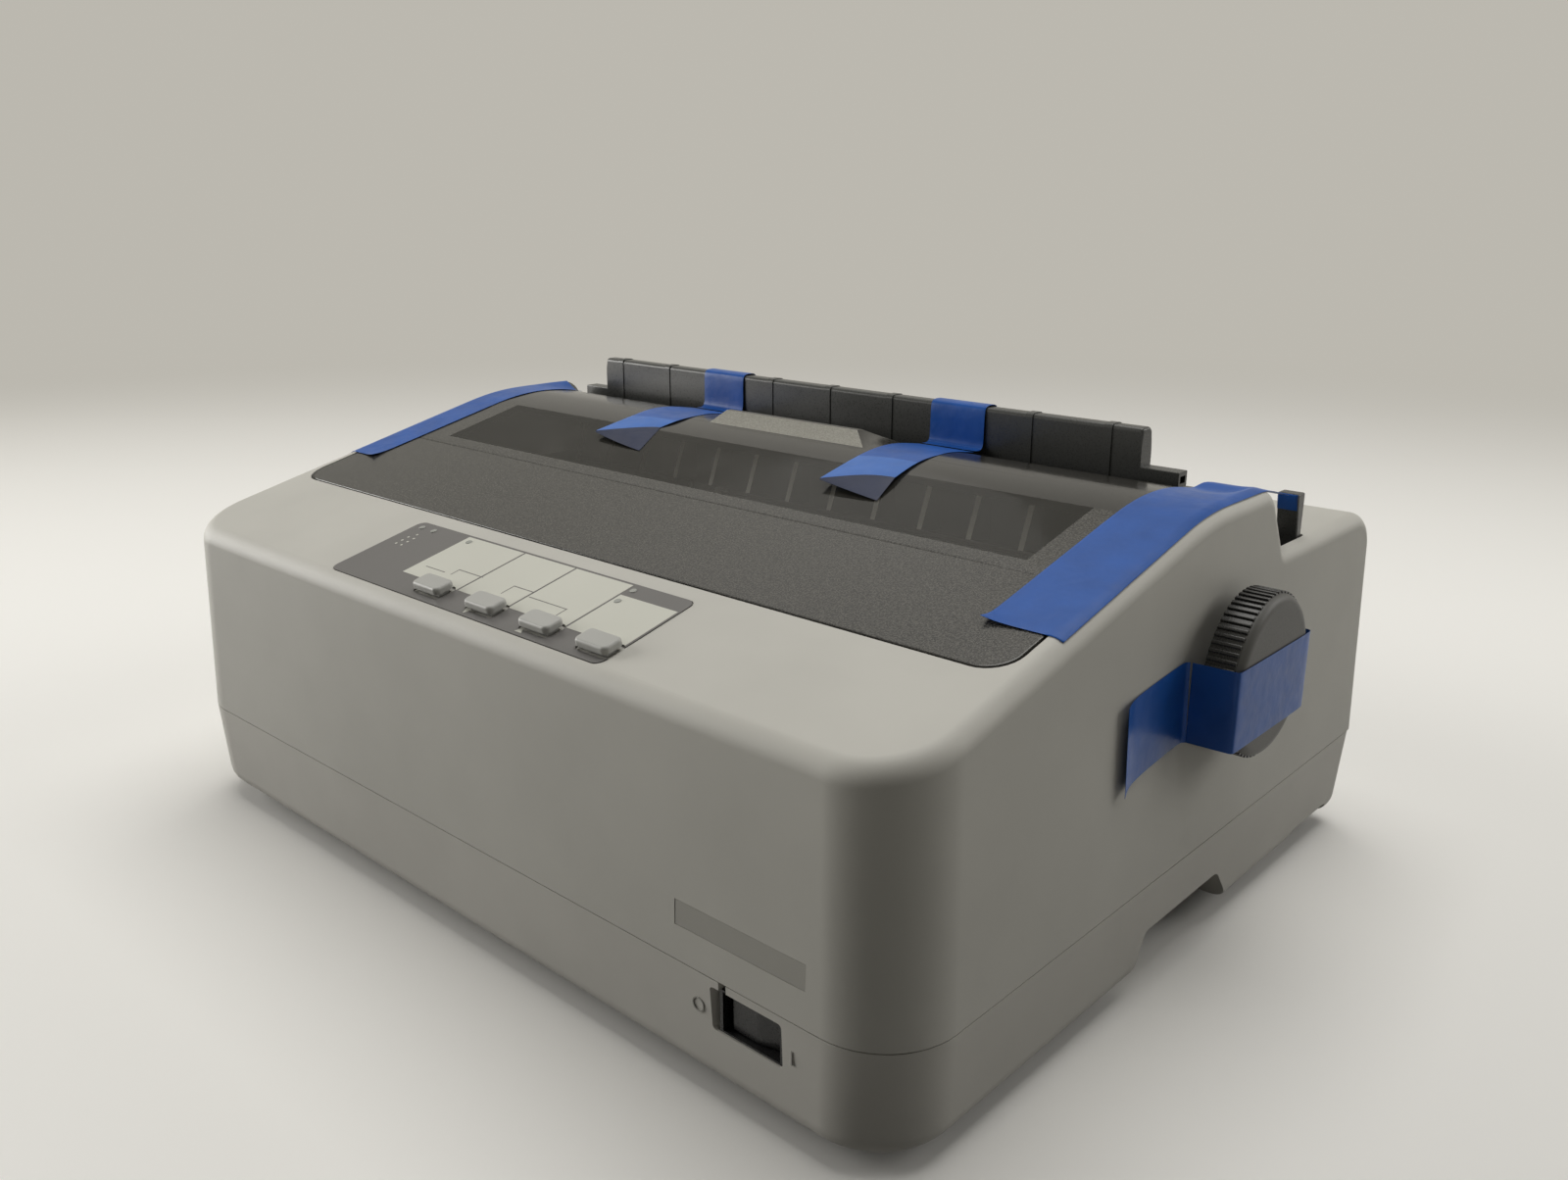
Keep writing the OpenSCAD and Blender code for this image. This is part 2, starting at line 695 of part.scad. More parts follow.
module tractor_idler_gear() {
    color([0.9, 0.9, 0.86]) at_case()
        gear(tractor_idler_c, tractor_idler_teeth, tractor_idler_phase, 3.05);
}

module tractor_gear() {
    color([0.9, 0.9, 0.86]) at_case() gear(tractor_c, tractor_teeth, tractor_phase, 2.95);
}

module feed_motor() {
    color([0.55, 0.56, 0.58]) at_case() difference() {
        union() {
            rod_x(frame_right_x - 20, frame_right_x - 1, pinion_c.x, pinion_c.y, 17.5);
            block(frame_right_x - 1.5, frame_right_x, pinion_c.x - 24, pinion_c.x + 24,
                pinion_c.y - 8, pinion_c.y + 8);
        }
        rod_x(frame_right_x - 9, frame_right_x + 1, pinion_c.x, pinion_c.y, 1.55);
    }
}

module paper_chute() {
    color([0.25, 0.25, 0.26]) at_case() difference() {
        rod_x(frame_left_x + 6, frame_right_x - 6, platen_y, platen_z, platen_r + 3);
        rod_x(frame_left_x + 5, frame_right_x - 5, platen_y, platen_z, platen_r + 1.6);
        // open above the platen and in front, where the head prints
        block(-170, 160, platen_y - 40, platen_y + 40, platen_z - 2, platen_z + 40);
        block(-170, 160, platen_y - 40, platen_y - 8, platen_z - 40, platen_z + 40);
        for (x = pinch_xs)
            block(x - pinch_len / 2 - 1, x + pinch_len / 2 + 1, pinch_c.x - 7,
                pinch_c.x + 7, pinch_c.y - 7, pinch_c.y + 7);
    }
}

module pinch_rollers() {
    color([0.3, 0.3, 0.3]) at_case() {
        rod_x(frame_left_x - 2, frame_right_x + 3, pinch_c.x, pinch_c.y, 2);
        for (x = pinch_xs)
            rod_x(x - pinch_len / 2, x + pinch_len / 2, pinch_c.x, pinch_c.y, pinch_r);
    }
}

module paper_guide() {
    color([0.3, 0.3, 0.29]) at_case() {
        along_x(frame_left_x + 4, frame_right_x - 3) polygon([[43, 108], [46, 108],
            [46, 129], [43, 129]]);
        // ribs that hold the paper off the guide
        for (i = [0 : 12])
            along_x(-142 + i * 21.3, -140.6 + i * 21.3) polygon([[38, 112], [44, 110],
                [44, 131], [34, 131]]);
        // feet on the frames
        for (x = [frame_left_x + sheet_t, frame_right_x - 7])
            block(x, x + 7, 42, 50, 108, 112);
    }
}

// ---- head and carriage ----

module carriage() {
    color([0.22, 0.22, 0.23]) at_case() translate([head_x, 0, 0]) {
        difference() {
            block(-24, 24, -38, -9, 60, 76);
            rod_x(-25, 25, rod_y, rod_z, rod_r + running);
        }
        // foot that slides on the rail and carries the cable's end
        block(-8, 8, -72, -37, 62, 64);
        block(-8, 8, -55, -50, rail_z + 0.4, 63);
        // belt clamp
        difference() {
            block(-7, 7, belt_y - 2, belt_y + belt_w + 2, belt_z + 4, 61);
            block(-8, 8, belt_y - 0.4, belt_y + belt_w + 3, belt_z + pulley_r - 0.5,
                belt_z + pulley_r + belt_t + 0.5);
            block(-8, 8, belt_y - 0.4, belt_y + belt_w + 3, belt_z, belt_z + 5.5);
        }
    }
}

module print_head() {
    color([0.3, 0.3, 0.31]) at_case() translate([head_x, 0, 0]) {
        block(-15, 15, -34, -12, 76, 80);
        // cooling fins
        for (i = [0 : 8])
            block(-15, 15, -34 + i * 2.6, -32.8 + i * 2.6, 79, 108);
        block(-9, 9, -33, -12, 79, 104);
        // nose with the pin guide at its tip
        along_x(-5, 5) polygon([[-13, 86], [-3, 89], [0.4, 90], [0.4, 98], [-3, 99],
            [-13, 102]]);
    }
}

module head_cable() {
    color([0.85, 0.85, 0.82]) at_case() along_y(-71, -58) polygon(concat(
        [[head_x - 6, 64.6]],
        [for (i = [0 : 8]) step_from([40, 61.4], 3.2, 90 - i * 22.5)],
        [[-60, 58.2], [-60, 58.7]],
        [for (i = [0 : 8]) step_from([40, 61.4], 2.7, -90 + i * 22.5)],
        [[head_x - 6, 64.1]]));
}

module carriage_shaft() {
    color([0.75, 0.75, 0.77]) at_case()
        rod_x(frame_left_x - 3, frame_right_x + 3.5, rod_y, rod_z, rod_r);
}

// folded sheet: a rail for the carriage's foot and a flange for the ribbon cartridge
module front_beam() {
    color([0.66, 0.67, 0.68]) at_case() {
        block(frame_left_x + sheet_t, frame_right_x, -84, -82.5, 56, 92);
        block(frame_left_x + sheet_t, frame_right_x, -84, -64, 90.5, 92);
        block(frame_left_x + sheet_t, frame_right_x, -84, -41, 56, rail_z);
    }
}

module carriage_belt() {
    color([0.1, 0.1, 0.1]) at_case() difference() {
        union() {
            block(drive_x, idler_x, belt_y, belt_y + belt_w, belt_z - pulley_r - belt_t,
                belt_z + pulley_r + belt_t);
            for (x = [drive_x, idler_x])
                rod_y(x, belt_z, belt_y, belt_y + belt_w, pulley_r + belt_t);
        }
        block(drive_x, idler_x, belt_y - 1, belt_y + belt_w + 1, belt_z - pulley_r,
            belt_z + pulley_r);
        for (x = [drive_x, idler_x])
            rod_y(x, belt_z, belt_y - 1, belt_y + belt_w + 1, pulley_r);
    }
}

module pulley(x, bore) {
    difference() {
        union() {
            rod_y(x, belt_z, belt_y + 0.2, belt_y + belt_w - 0.2, pulley_r - 0.05);
            rod_y(x, belt_z, belt_y - 1.4, belt_y - 0.2, pulley_r + 2);
            rod_y(x, belt_z, belt_y + belt_w + 0.2, belt_y + belt_w + 1.4, pulley_r + 2);
            rod_y(x, belt_z, belt_y - 1, belt_y + belt_w + 1, pulley_r - 1);
        }
        rod_y(x, belt_z, belt_y - 3, belt_y + belt_w + 3, bore);
    }
}

module drive_pulley() {
    color([0.75, 0.65, 0.35]) at_case() {
        pulley(drive_x, 1.5);
        rod_y(drive_x, belt_z, belt_y - 1.4, motor_y + 10, 1.5);
    }
}

module idler_pulley() {
    color([0.8, 0.8, 0.78]) at_case() pulley(idler_x, 2.05);
}

// sliding fork that holds the idler pulley
module idler_holder() {
    color([0.2, 0.2, 0.2]) at_case() {
        rod_y(idler_x, belt_z, belt_y - 4, belt_y + belt_w + 4, 2);
        for (y = [belt_y - 4, belt_y + belt_w + 2.2])
            block(idler_x - 4, idler_x + 14, y, y + 1.8, belt_z - 5, belt_z + 5);
        block(idler_x + 11, idler_x + 14, belt_y - 4, belt_y + belt_w + 4, belt_z - 5,
            belt_z + 5);
    }
}

// wound spring between the idler's fork and the right frame
module belt_tension_spring() {
    turns = 5;
    ring = 8;
    pitch = 1.25;
    coil_r = 3;
    wire_r = 0.4;
    steps = turns * ring;
    start_x = idler_x + 14.3;
    mid_y = belt_y + belt_w / 2;
    rings = [for (i = [0 : steps]) let (a = i * 360 / ring) [for (k = [0 : 5])
        let (r = coil_r + wire_r * cos(k * 60))
        [start_x + wire_r + i * pitch / ring + wire_r * sin(k * 60), mid_y + r * cos(a),
            belt_z + r * sin(a)]]];
    color([0.7, 0.7, 0.72]) at_case() polyhedron(
        points = [for (r = rings) each r],
        faces = concat([[for (k = [0 : 5]) k]],
            [for (i = [0 : steps - 1], k = [0 : 5]) [i * 6 + k, (i + 1) * 6 + k,
                (i + 1) * 6 + (k + 1) % 6]],
            [for (i = [0 : steps - 1], k = [0 : 5]) [i * 6 + k,
                (i + 1) * 6 + (k + 1) % 6, i * 6 + (k + 1) % 6]],
            [[for (k = [5 : -1 : 0]) steps * 6 + k]]));
}

module carriage_motor() {
    color([0.55, 0.56, 0.58]) at_case() difference() {
        union() {
            rod_y(drive_x, belt_z, motor_y + 1.5, motor_y + 30, 14.5);
            block(drive_x - 14.5, drive_x + 24, motor_y, motor_y + 1.5, pan_z + sheet_t,
                belt_z + 14.5);
        }
        rod_y(drive_x, belt_z, motor_y - 1, motor_y + 12, 1.55);
    }
}

// ---- ribbon ----

module ribbon_cartridge() {
    color([0.12, 0.12, 0.13]) at_case() {
        difference() {
            block(-140, 136, -84, -43, 92.2, 104);
            block(-138, 134, -82, -45, 93.7, 102.5);
            translate([-104, -64, 100]) cylinder(h = 5, r = 3.06);
        }
        // arms that carry the ribbon past the platen
        for (x = [-140, 125])
            block(x, x + 11, -43.5, 1.8, 89, 103);
    }
}

module ribbon_knob() {
    color([0.3, 0.32, 0.34]) at_case() {
        translate([-104, -64, 104.3]) cylinder(h = 5, r = 9);
        translate([-104, -64, 102.8]) cylinder(h = 2, r = 3);
    }
}

// ---- tractors ----

module tractor_drive_shaft() {
    color([0.7, 0.7, 0.72]) at_case() {
        block(frame_left_x + 3, frame_right_x - 2, tractor_c.x - square / 2,
            tractor_c.x + square / 2, tractor_c.y - square / 2, tractor_c.y + square / 2);
        rod_x(frame_left_x - 3, frame_left_x + 4, tractor_c.x, tractor_c.y, 2.95);
        rod_x(frame_right_x - 3, gear_x + gear_w + 1, tractor_c.x, tractor_c.y, 2.95);
    }
}

module tractor_support_shaft() {
    color([0.7, 0.7, 0.72]) at_case()
        rod_x(frame_left_x, frame_right_x + sheet_t, support_y, support_z, 3);
}

module tractor_unit(x, side) {
    difference() {
        union() {
            along_x(x - 9, x + 9) polygon([[76, 78], [114, 78], [114, 92], [106, 102.4],
                [76, 102.4]]);
            // knuckles of the door
            for (y = [76, 102.4])
                block(x + side * 7.4 - 1.6, x + side * 7.4 + 1.6, y, y + 2.6, 101, 106);
        }
        rod_y(x + side * 7.4, 104.4, 75, 106, 1.15);
        // slot of the sprocket
        block(x - 4.5, x + 4.5, 74, 103.2, 76, 104);
        rod_x(x - 10, x + 10, tractor_c.x, tractor_c.y, 6.05);
        rod_x(x - 10, x + 10, support_y, support_z, 3 + running);
    }
}

module sprocket(x) {
    difference() {
        union() {
            rod_x(x - 4, x + 4, tractor_c.x, tractor_c.y, sprocket_r);
            rod_x(x - 9, x + 9, tractor_c.x, tractor_c.y, 6);
            for (i = [0 : 5])
                translate([x, tractor_c.x, tractor_c.y]) rotate([i * 60, 0, 0])
                    cylinder(h = 12.6, r = 1.7);
        }
        block(x - 10, x + 10, tractor_c.x - square / 2 - running,
            tractor_c.x + square / 2 + running, tractor_c.y - square / 2 - running,
            tractor_c.y + square / 2 + running);
    }
}

module tractor_door(x, side) {
    block(x - 6.5, x + 5, 79, 102, 103.4, 105.4);
    rod_y(x + side * 7.4, 104.4, 76.2, 104.8, 1.1);
    block(x + side * 6 - 1.6, x + side * 6 + 1.6, 79, 102, 103.8, 105);
}

module tractor_left() {
    color([0.2, 0.2, 0.2]) at_case() tractor_unit(tractor_left_x, -1);
}

module tractor_right() {
    color([0.2, 0.2, 0.2]) at_case() tractor_unit(tractor_right_x, 1);
}

module sprocket_left() {
    color([0.9, 0.9, 0.86]) at_case() sprocket(tractor_left_x);
}

module sprocket_right() {
    color([0.9, 0.9, 0.86]) at_case() sprocket(tractor_right_x);
}

module tractor_door_left() {
    color([0.25, 0.25, 0.25]) at_case() tractor_door(tractor_left_x, -1);
}

module tractor_door_right() {
    color([0.25, 0.25, 0.25]) at_case() tractor_door(tractor_right_x, 1);
}

// ---- levers ----

module release_lever() {
    color([0.24, 0.25, 0.25]) at_case() difference() {
        union() {
            along_x(lever_x, lever_x + 7) polygon(rounded([[68, lever_z - 2, 0],
                [82, lever_z - 2, 0], [83, 136.5, 1.5], [80, 138, 1], [65.5, 138, 1.5]]));
            rod_x(lever_x, lever_x + 7, lever_y, lever_z, 6.5);
        }
        rod_x(lever_x - 1, lever_x + 8, lever_y, lever_z, 2.55);
    }
}

module gap_lever() {
    color([0.3, 0.45, 0.4]) at_case() difference() {
        union() {
            along_x(gap_x, gap_x + 4) polygon([[gap_y - 4, gap_z], [gap_y + 4, gap_z],
                [gap_y + 3, 118], [gap_y - 3, 118]]);
            rod_x(gap_x, gap_x + 4, gap_y, gap_z, 5);
            block(gap_x, gap_x + 6, gap_y - 4, gap_y + 4, 114, 120);
        }
        rod_x(gap_x - 1, gap_x + 5, gap_y, gap_z, 2.05);
    }
}

// ---- chassis and electronics ----

module chassis_base() {
    color([0.66, 0.67, 0.68]) at_case() difference() {
        union() {
            block(frame_left_x, frame_right_x + sheet_t, -96, 126, pan_z, pan_z + sheet_t);
            // standoffs of the boards
            for (x = [-144, 12], y = [-10, 120])
                translate([x, y, pan_z + 1]) cylinder(h = board_z - pan_z - 1, r = 3);
            for (x = [36, 130], y = [-84, 108])
                translate([x, y, pan_z + 1]) cylinder(h = board_z - pan_z - 1, r = 3);
        }
        for (x = [-100 : 24 : 100], y = [-70, -50, -30])
            block(x, x + 14, y, y + 6, pan_z - 1, pan_z + 3);
    }
}

module frame_outline(rear_z) {
    polygon([[-84, pan_z + sheet_t], [-84, 90.4], [-42, 90.4], [-12, 104], [2, 112],
        [52, 113], [55, rear_z], [116, rear_z], [116, pan_z + sheet_t]]);
}

module left_frame() {
    color([0.66, 0.67, 0.68]) at_case() {
        difference() {
            along_x(frame_left_x, frame_left_x + sheet_t) frame_outline(104);
            rod_x(frame_left_x - 1, frame_left_x + 3, platen_y, platen_z, 8.02);
            rod_x(frame_left_x - 1, frame_left_x + 3, rod_y, rod_z, rod_r + 0.02);
            rod_x(frame_left_x - 1, frame_left_x + 3, pinch_c.x, pinch_c.y, 2.05);
            rod_x(frame_left_x - 1, frame_left_x + 3, tractor_c.x, tractor_c.y, 3);
            rod_x(frame_left_x - 1, frame_left_x + 3, support_y, support_z, 3.02);
            // way for the carriage motor's wires
            block(frame_left_x - 1, frame_left_x + 3, -60, -30, 20, 50);
        }
        rod_x(frame_left_x + 0.5, gap_x + 4.5, gap_y, gap_z, 2);
    }
}

module right_frame() {
    color([0.66, 0.67, 0.68]) at_case() {
        difference() {
            along_x(frame_right_x, frame_right_x + sheet_t) frame_outline(113);
            rod_x(frame_right_x - 1, frame_right_x + 3, platen_y, platen_z, 8.02);
            rod_x(frame_right_x - 1, frame_right_x + 3, rod_y, rod_z, rod_r + 0.02);
            rod_x(frame_right_x - 1, frame_right_x + 3, pinch_c.x, pinch_c.y, 2.05);
            rod_x(frame_right_x - 1, frame_right_x + 3, pinion_c.x, pinion_c.y, 4);
            rod_x(frame_right_x - 1, frame_right_x + 3, tractor_c.x, tractor_c.y, 3);
            rod_x(frame_right_x - 1, frame_right_x + 3, support_y, support_z, 3.02);
            block(frame_right_x - 1, frame_right_x + 3, -60, -40, 20, 50);
        }
        // studs of the idler gears and of the release lever
        for (c = [idler_c, tractor_idler_c]) {
            rod_x(141, gear_x - 0.3, c.x, c.y, 5);
            rod_x(141, gear_x + gear_w + 1, c.x, c.y, 3);
        }
        rod_x(141, lever_x - 0.4, lever_y, lever_z, 4.5);
        rod_x(141, lever_x + 7.5, lever_y, lever_z, 2.5);
    }
}

module main_board() {
    color([0.14, 0.34, 0.2]) at_case() {
        block(-150, 20, -20, 131, board_z, board_z + 1.6);
        // processor, memory, drivers and capacitors
        block(-96, -68, 20, 48, 19, 22);
        block(-50, -30, 30, 44, 19, 22);
        for (i = [0 : 3])
            block(-130 + i * 16, -122 + i * 16, 66, 90, 19, 23);
        for (i = [0 : 2])
            translate([-10 + i * 11, 60, 19]) cylinder(h = 12, r = 4);
    }
}

module power_board() {
    color([0.5, 0.38, 0.2]) at_case() {
        block(30, 136, -92, 114, board_z, board_z + 1.6);
        // transformer, smoothing capacitors and heat sink
        block(60, 92, 44, 76, 19, 36);
        translate([50, -60, 19]) cylinder(h = 16, r = 8);
        translate([76, -60, 19]) cylinder(h = 16, r = 8);
        block(100, 103, -50, 30, 19, 33);
        for (i = [0 : 5])
            block(102, 108, -46 + i * 14, -44 + i * 14, 19, 33);
    }
}

module mains_inlet() {
    color([0.08, 0.08, 0.08]) at_case() {
        difference() {
            block(97, 125, 117, half_d - 0.3, 13.8, 33.2);
            along_y(122, half_d + 1) polygon([[99.2, 16], [122.8, 16], [122.8, 26],
                [117.5, 31], [104.5, 31], [99.2, 26]]);
        }
        // contact blades
        for (p = [[104, 21.5], [118, 21.5], [111, 26]])
            block(p.x - 1, p.x + 1, 120, 134, p.y - 2, p.y + 2);
    }
}

module rear_connectors() {
    color([0.3, 0.3, 0.3]) at_case() {
        // parallel socket
        difference() {
            block(-142, -82, 122, half_d - 0.3, 20, 33.6);
            block(-138, -86, 126, half_d + 1, 22.4, 31.2);
        }
        block(-134, -90, 125, 134, 25.3, 28.3);
        // nine-way serial socket
        difference() {
            block(-70, -38, 122, half_d - 0.3, 20, 32.6);
            block(-66, -42, 126, half_d + 1, 22, 30.6);
        }
        // square data socket
        difference() {
            block(-26, -13, 122, half_d - 0.3, 20, 31.6);
            block(-24, -15, 126, half_d + 1, 22, 29.6);
        }
        block(-22, -17, 125, 134, 24.4, 27.2);
    }
}

upper_case();
lower_case();
printer_cover();
paper_separator();
sheet_guide();
edge_guide_left();
edge_guide_right();
control_panel_sheet();
panel_board();
button_1();
button_2();
button_3();
button_4();
power_rocker();
power_switch_body();
platen_shaft();
platen_roller();
platen_gear();
platen_bushings();
platen_knob();
paper_chute();
pinch_rollers();
paper_guide();
carriage();
print_head();
head_cable();
carriage_shaft();
front_beam();
carriage_belt();
drive_pulley();
idler_pulley();
idler_holder();
belt_tension_spring();
carriage_motor();
feed_motor();
feed_pinion();
feed_idler_gear();
tractor_idler_gear();
tractor_gear();
tractor_drive_shaft();
tractor_support_shaft();
tractor_left();
tractor_right();
sprocket_left();
sprocket_right();
tractor_door_left();
tractor_door_right();
ribbon_cartridge();
ribbon_knob();
screws();
release_lever();
gap_lever();
chassis_base();
left_frame();
right_frame();
main_board();
power_board();
mains_inlet();
rear_connectors();
rubber_feet();
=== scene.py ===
import math

import bmesh
import bpy
from mathutils import Matrix, Vector


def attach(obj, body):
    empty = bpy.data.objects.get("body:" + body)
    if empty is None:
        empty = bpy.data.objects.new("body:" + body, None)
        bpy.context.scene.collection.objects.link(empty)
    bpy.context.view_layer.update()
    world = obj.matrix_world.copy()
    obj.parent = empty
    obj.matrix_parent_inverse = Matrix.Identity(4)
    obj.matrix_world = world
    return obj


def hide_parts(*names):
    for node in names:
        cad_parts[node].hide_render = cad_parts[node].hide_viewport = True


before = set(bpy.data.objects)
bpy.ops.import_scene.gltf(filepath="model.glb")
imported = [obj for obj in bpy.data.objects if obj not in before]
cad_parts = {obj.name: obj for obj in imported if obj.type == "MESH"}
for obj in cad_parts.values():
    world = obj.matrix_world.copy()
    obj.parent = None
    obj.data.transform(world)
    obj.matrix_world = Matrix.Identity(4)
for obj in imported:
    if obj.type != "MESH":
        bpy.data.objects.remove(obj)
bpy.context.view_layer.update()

scene = bpy.context.scene

# ---- Camera ----
# It stands off the printer's front right-hand corner, a little above the deck, and looks
# down across the deck at the cover.
lens = bpy.data.cameras.new("camera")
lens.lens = 30.353
lens.sensor_width = 36.0
lens.clip_start = 0.01
camera = bpy.data.objects.new("camera", lens)
camera.location = (0.31757, -0.33977, 0.23055)
camera.rotation_euler = (math.pi / 2 - 0.299, 0.0, 0.7409)
scene.collection.objects.link(camera)
scene.camera = camera
scene.view_settings.view_transform = "Standard"

# ---- Studio ----
# A pale floor that runs far out, and a backdrop of the same tone behind it. Wide soft lamps
# hang over the left and the far side, so the side that faces the camera is the darker one.
FLOOR_TONE = (0.93, 0.92, 0.885, 1.0)
BOUNCE_TONE = (0.12, 0.118, 0.113, 1.0)
BACKDROP_TONE = (0.500, 0.480, 0.430, 1.0)
ROOM_TONE = (0.01, 0.01, 0.01, 1.0)
LAMP_TONE = (1.0, 0.985, 0.955)
LAMP_AIM = Vector((0.0, 0.0, 0.06))


def seen_directly(nodes, links):
    """One where a surface is looked at, straight or in a reflection or through glass."""
    path = nodes.new("ShaderNodeLightPath")
    either = path.outputs["Is Camera Ray"]
    for kind in ("Is Glossy Ray", "Is Transmission Ray"):
        most = nodes.new("ShaderNodeMath")
        most.operation = "MAXIMUM"
        links.new(either, most.inputs[0])
        links.new(path.outputs[kind], most.inputs[1])
        either = most.outputs[0]
    return either


floor_finish = bpy.data.materials.new("floor_board")
floor_finish.use_nodes = True
nodes, links = floor_finish.node_tree.nodes, floor_finish.node_tree.links
floor_shader = nodes["Principled BSDF"]
floor_shader.inputs["Roughness"].default_value = 0.8
floor_shader.inputs["Specular IOR Level"].default_value = 0.2
floor_tone = nodes.new("ShaderNodeMix")
floor_tone.data_type = "RGBA"
floor_tone.inputs[6].default_value = BOUNCE_TONE
floor_tone.inputs[7].default_value = FLOOR_TONE
links.new(seen_directly(nodes, links), floor_tone.inputs[0])
links.new(floor_tone.outputs[2], floor_shader.inputs["Base Color"])
far_floor = nodes.new("ShaderNodeEmission")
far_floor.inputs["Color"].default_value = BACKDROP_TONE
place = nodes.new("ShaderNodeTexCoord")
far = nodes.new("ShaderNodeVectorMath")
far.operation = "LENGTH"
links.new(place.outputs["Object"], far.inputs[0])
fade = nodes.new("ShaderNodeMapRange")
fade.interpolation_type = "SMOOTHSTEP"
fade.inputs["From Min"].default_value = 0.35
fade.inputs["From Max"].default_value = 1.5
links.new(far.outputs["Value"], fade.inputs["Value"])
blend = nodes.new("ShaderNodeMixShader")
links.new(fade.outputs["Result"], blend.inputs[0])
links.new(floor_shader.outputs[0], blend.inputs[1])
links.new(far_floor.outputs[0], blend.inputs[2])
links.new(blend.outputs[0], nodes["Material Output"].inputs["Surface"])
bm = bmesh.new()
bmesh.ops.create_grid(bm, x_segments=1, y_segments=1, size=15.0)
mesh = bpy.data.meshes.new("floor")
bm.to_mesh(mesh)
bm.free()
mesh.materials.append(floor_finish)
floor = bpy.data.objects.new("floor", mesh)
scene.collection.objects.link(floor)

world = bpy.data.worlds.new("studio")
world.use_nodes = True
scene.world = world
nodes, links = world.node_tree.nodes, world.node_tree.links
backdrop = nodes["Background"]
backdrop.inputs["Strength"].default_value = 1.0
backdrop_tone = nodes.new("ShaderNodeMix")
backdrop_tone.data_type = "RGBA"
backdrop_tone.inputs[6].default_value = ROOM_TONE
backdrop_tone.inputs[7].default_value = BACKDROP_TONE
links.new(seen_directly(nodes, links), backdrop_tone.inputs[0])
links.new(backdrop_tone.outputs[2], backdrop.inputs["Color"])

for name, spot, size, power in (
    ("lamp_over", (0.0, 0.3, 1.8), 1.5, 21.5),
    ("lamp_left", (-1.7, -0.8, 0.5), 1.0, 27.0),
    ("lamp_right", (1.15, 1.3, 0.85), 1.0, 9.5),
    ("lamp_sheen", (-1.0, 0.6, 1.5), 1.2, 1.7),
):
    light = bpy.data.lights.new(name, "AREA")
    light.size = size
    light.energy = power
    light.color = LAMP_TONE
    lamp = bpy.data.objects.new(name, light)
    lamp.location = spot
    lamp.rotation_euler = (LAMP_AIM - Vector(spot)).to_track_quat("-Z", "Y").to_euler()
    scene.collection.objects.link(lamp)

# ---- Upper case ----
# The top half of the housing, one moulding in warm light grey plastic with a fine eroded
# grain. The deck slopes up to a flat crest, drops steeply behind the paper slot and runs
# flat to the back, and every outer edge has a soft round.
MM = 0.001
CASE_MIDDLE = -7.0
INTO_FRAME = Matrix.Scale(MM, 4) @ Matrix.Translation((CASE_MIDDLE, 0, 0))
HALF_W = 174.0
HALF_D = 137.5
PARTING = 38.0
DRAFT = math.tan(math.radians(1.78))
DECK_TILT = math.radians(13.63)
DECK_FRONT_Y = -134.0
DECK_FRONT_Z = 108.0
CREST = 142.3
CREST_START = 7.46
CREST_END = 50.0
PLATEAU = 120.5
RIM_ROUND = 5.0
CASE_WALL = 2.6
HINGE_Y = -83.5
HINGE_Z = 115.845
KNOB_Y = 20.0
KNOB_Z = 94.0
PANEL_FRONT = -131.0
BUTTON_LINE = -124.6
BUTTON_PLACES = (-18.5, 8.8, 35.0, 60.3)
SCREW_PLACES = [(side * 164.5, y) for side in (-1, 1) for y in (-100, 66)]


def deck_height(y):
    """The height of the sloping deck at a place from front to back."""
    return DECK_FRONT_Z + (y - DECK_FRONT_Y) * math.tan(DECK_TILT)


def edges_where(bm, test):
    """The edges whose middle point and direction pass the test."""
    found = []
    for edge in bm.edges:
        a, b = edge.verts[0].co, edge.verts[1].co
        if test((a + b) / 2, (b - a).normalized()):
            found.append(edge)
    return found


def uprights(bm, start=-200.0, end=200.0):
    """The upright edges between two places from front to back."""
    return edges_where(bm, lambda at, way: abs(way.z) > 0.9 and start < at.y < end)


def ridges(bm, y, z):
    """The edges that run across the printer at y and z."""
    return edges_where(bm, lambda at, way: abs(way.x) > 0.99
                       and abs(at.y - y) < 0.2 and abs(at.z - z) < 0.2)


def soften(bm, edges, size, steps):
    """Rounds the edges over: size is how far the round reaches along each face."""
    bmesh.ops.bevel(bm, geom=list(edges), offset=size, offset_type="OFFSET", segments=steps,
                    profile=0.5, affect="EDGES", clamp_overlap=False, material=-1)


def bar(outline, axis, start, end):
    """A straight bar whose section is the outline, run along one axis."""
    order = {"x": (2, 0, 1), "y": (0, 2, 1), "z": (0, 1, 2)}[axis]
    bm = bmesh.new()
    corners = []
    for a, b in outline:
        spot = (a, b, start)
        corners.append(bm.verts.new([spot[i] for i in order]))
    run = bmesh.ops.extrude_face_region(bm, geom=[bm.faces.new(corners)])["geom"]
    way = Vector((axis == "x", axis == "y", axis == "z")) * (end - start)
    moved = [part for part in run if isinstance(part, bmesh.types.BMVert)]
    bmesh.ops.translate(bm, vec=way, verts=moved)
    bmesh.ops.recalc_face_normals(bm, faces=bm.faces)
    return bm


def block(x0, x1, y0, y1, z0, z1, size=0.0, steps=2):
    """A squared block, its edges rounded over where a size is given."""
    bm = bmesh.new()
    bmesh.ops.create_cube(bm, size=1.0)
    bmesh.ops.scale(bm, vec=(x1 - x0, y1 - y0, z1 - z0), verts=bm.verts)
    middle = ((x0 + x1) / 2, (y0 + y1) / 2, (z0 + z1) / 2)
    bmesh.ops.translate(bm, vec=middle, verts=bm.verts)
    if size:
        soften(bm, bm.edges, size, steps)
    return bm


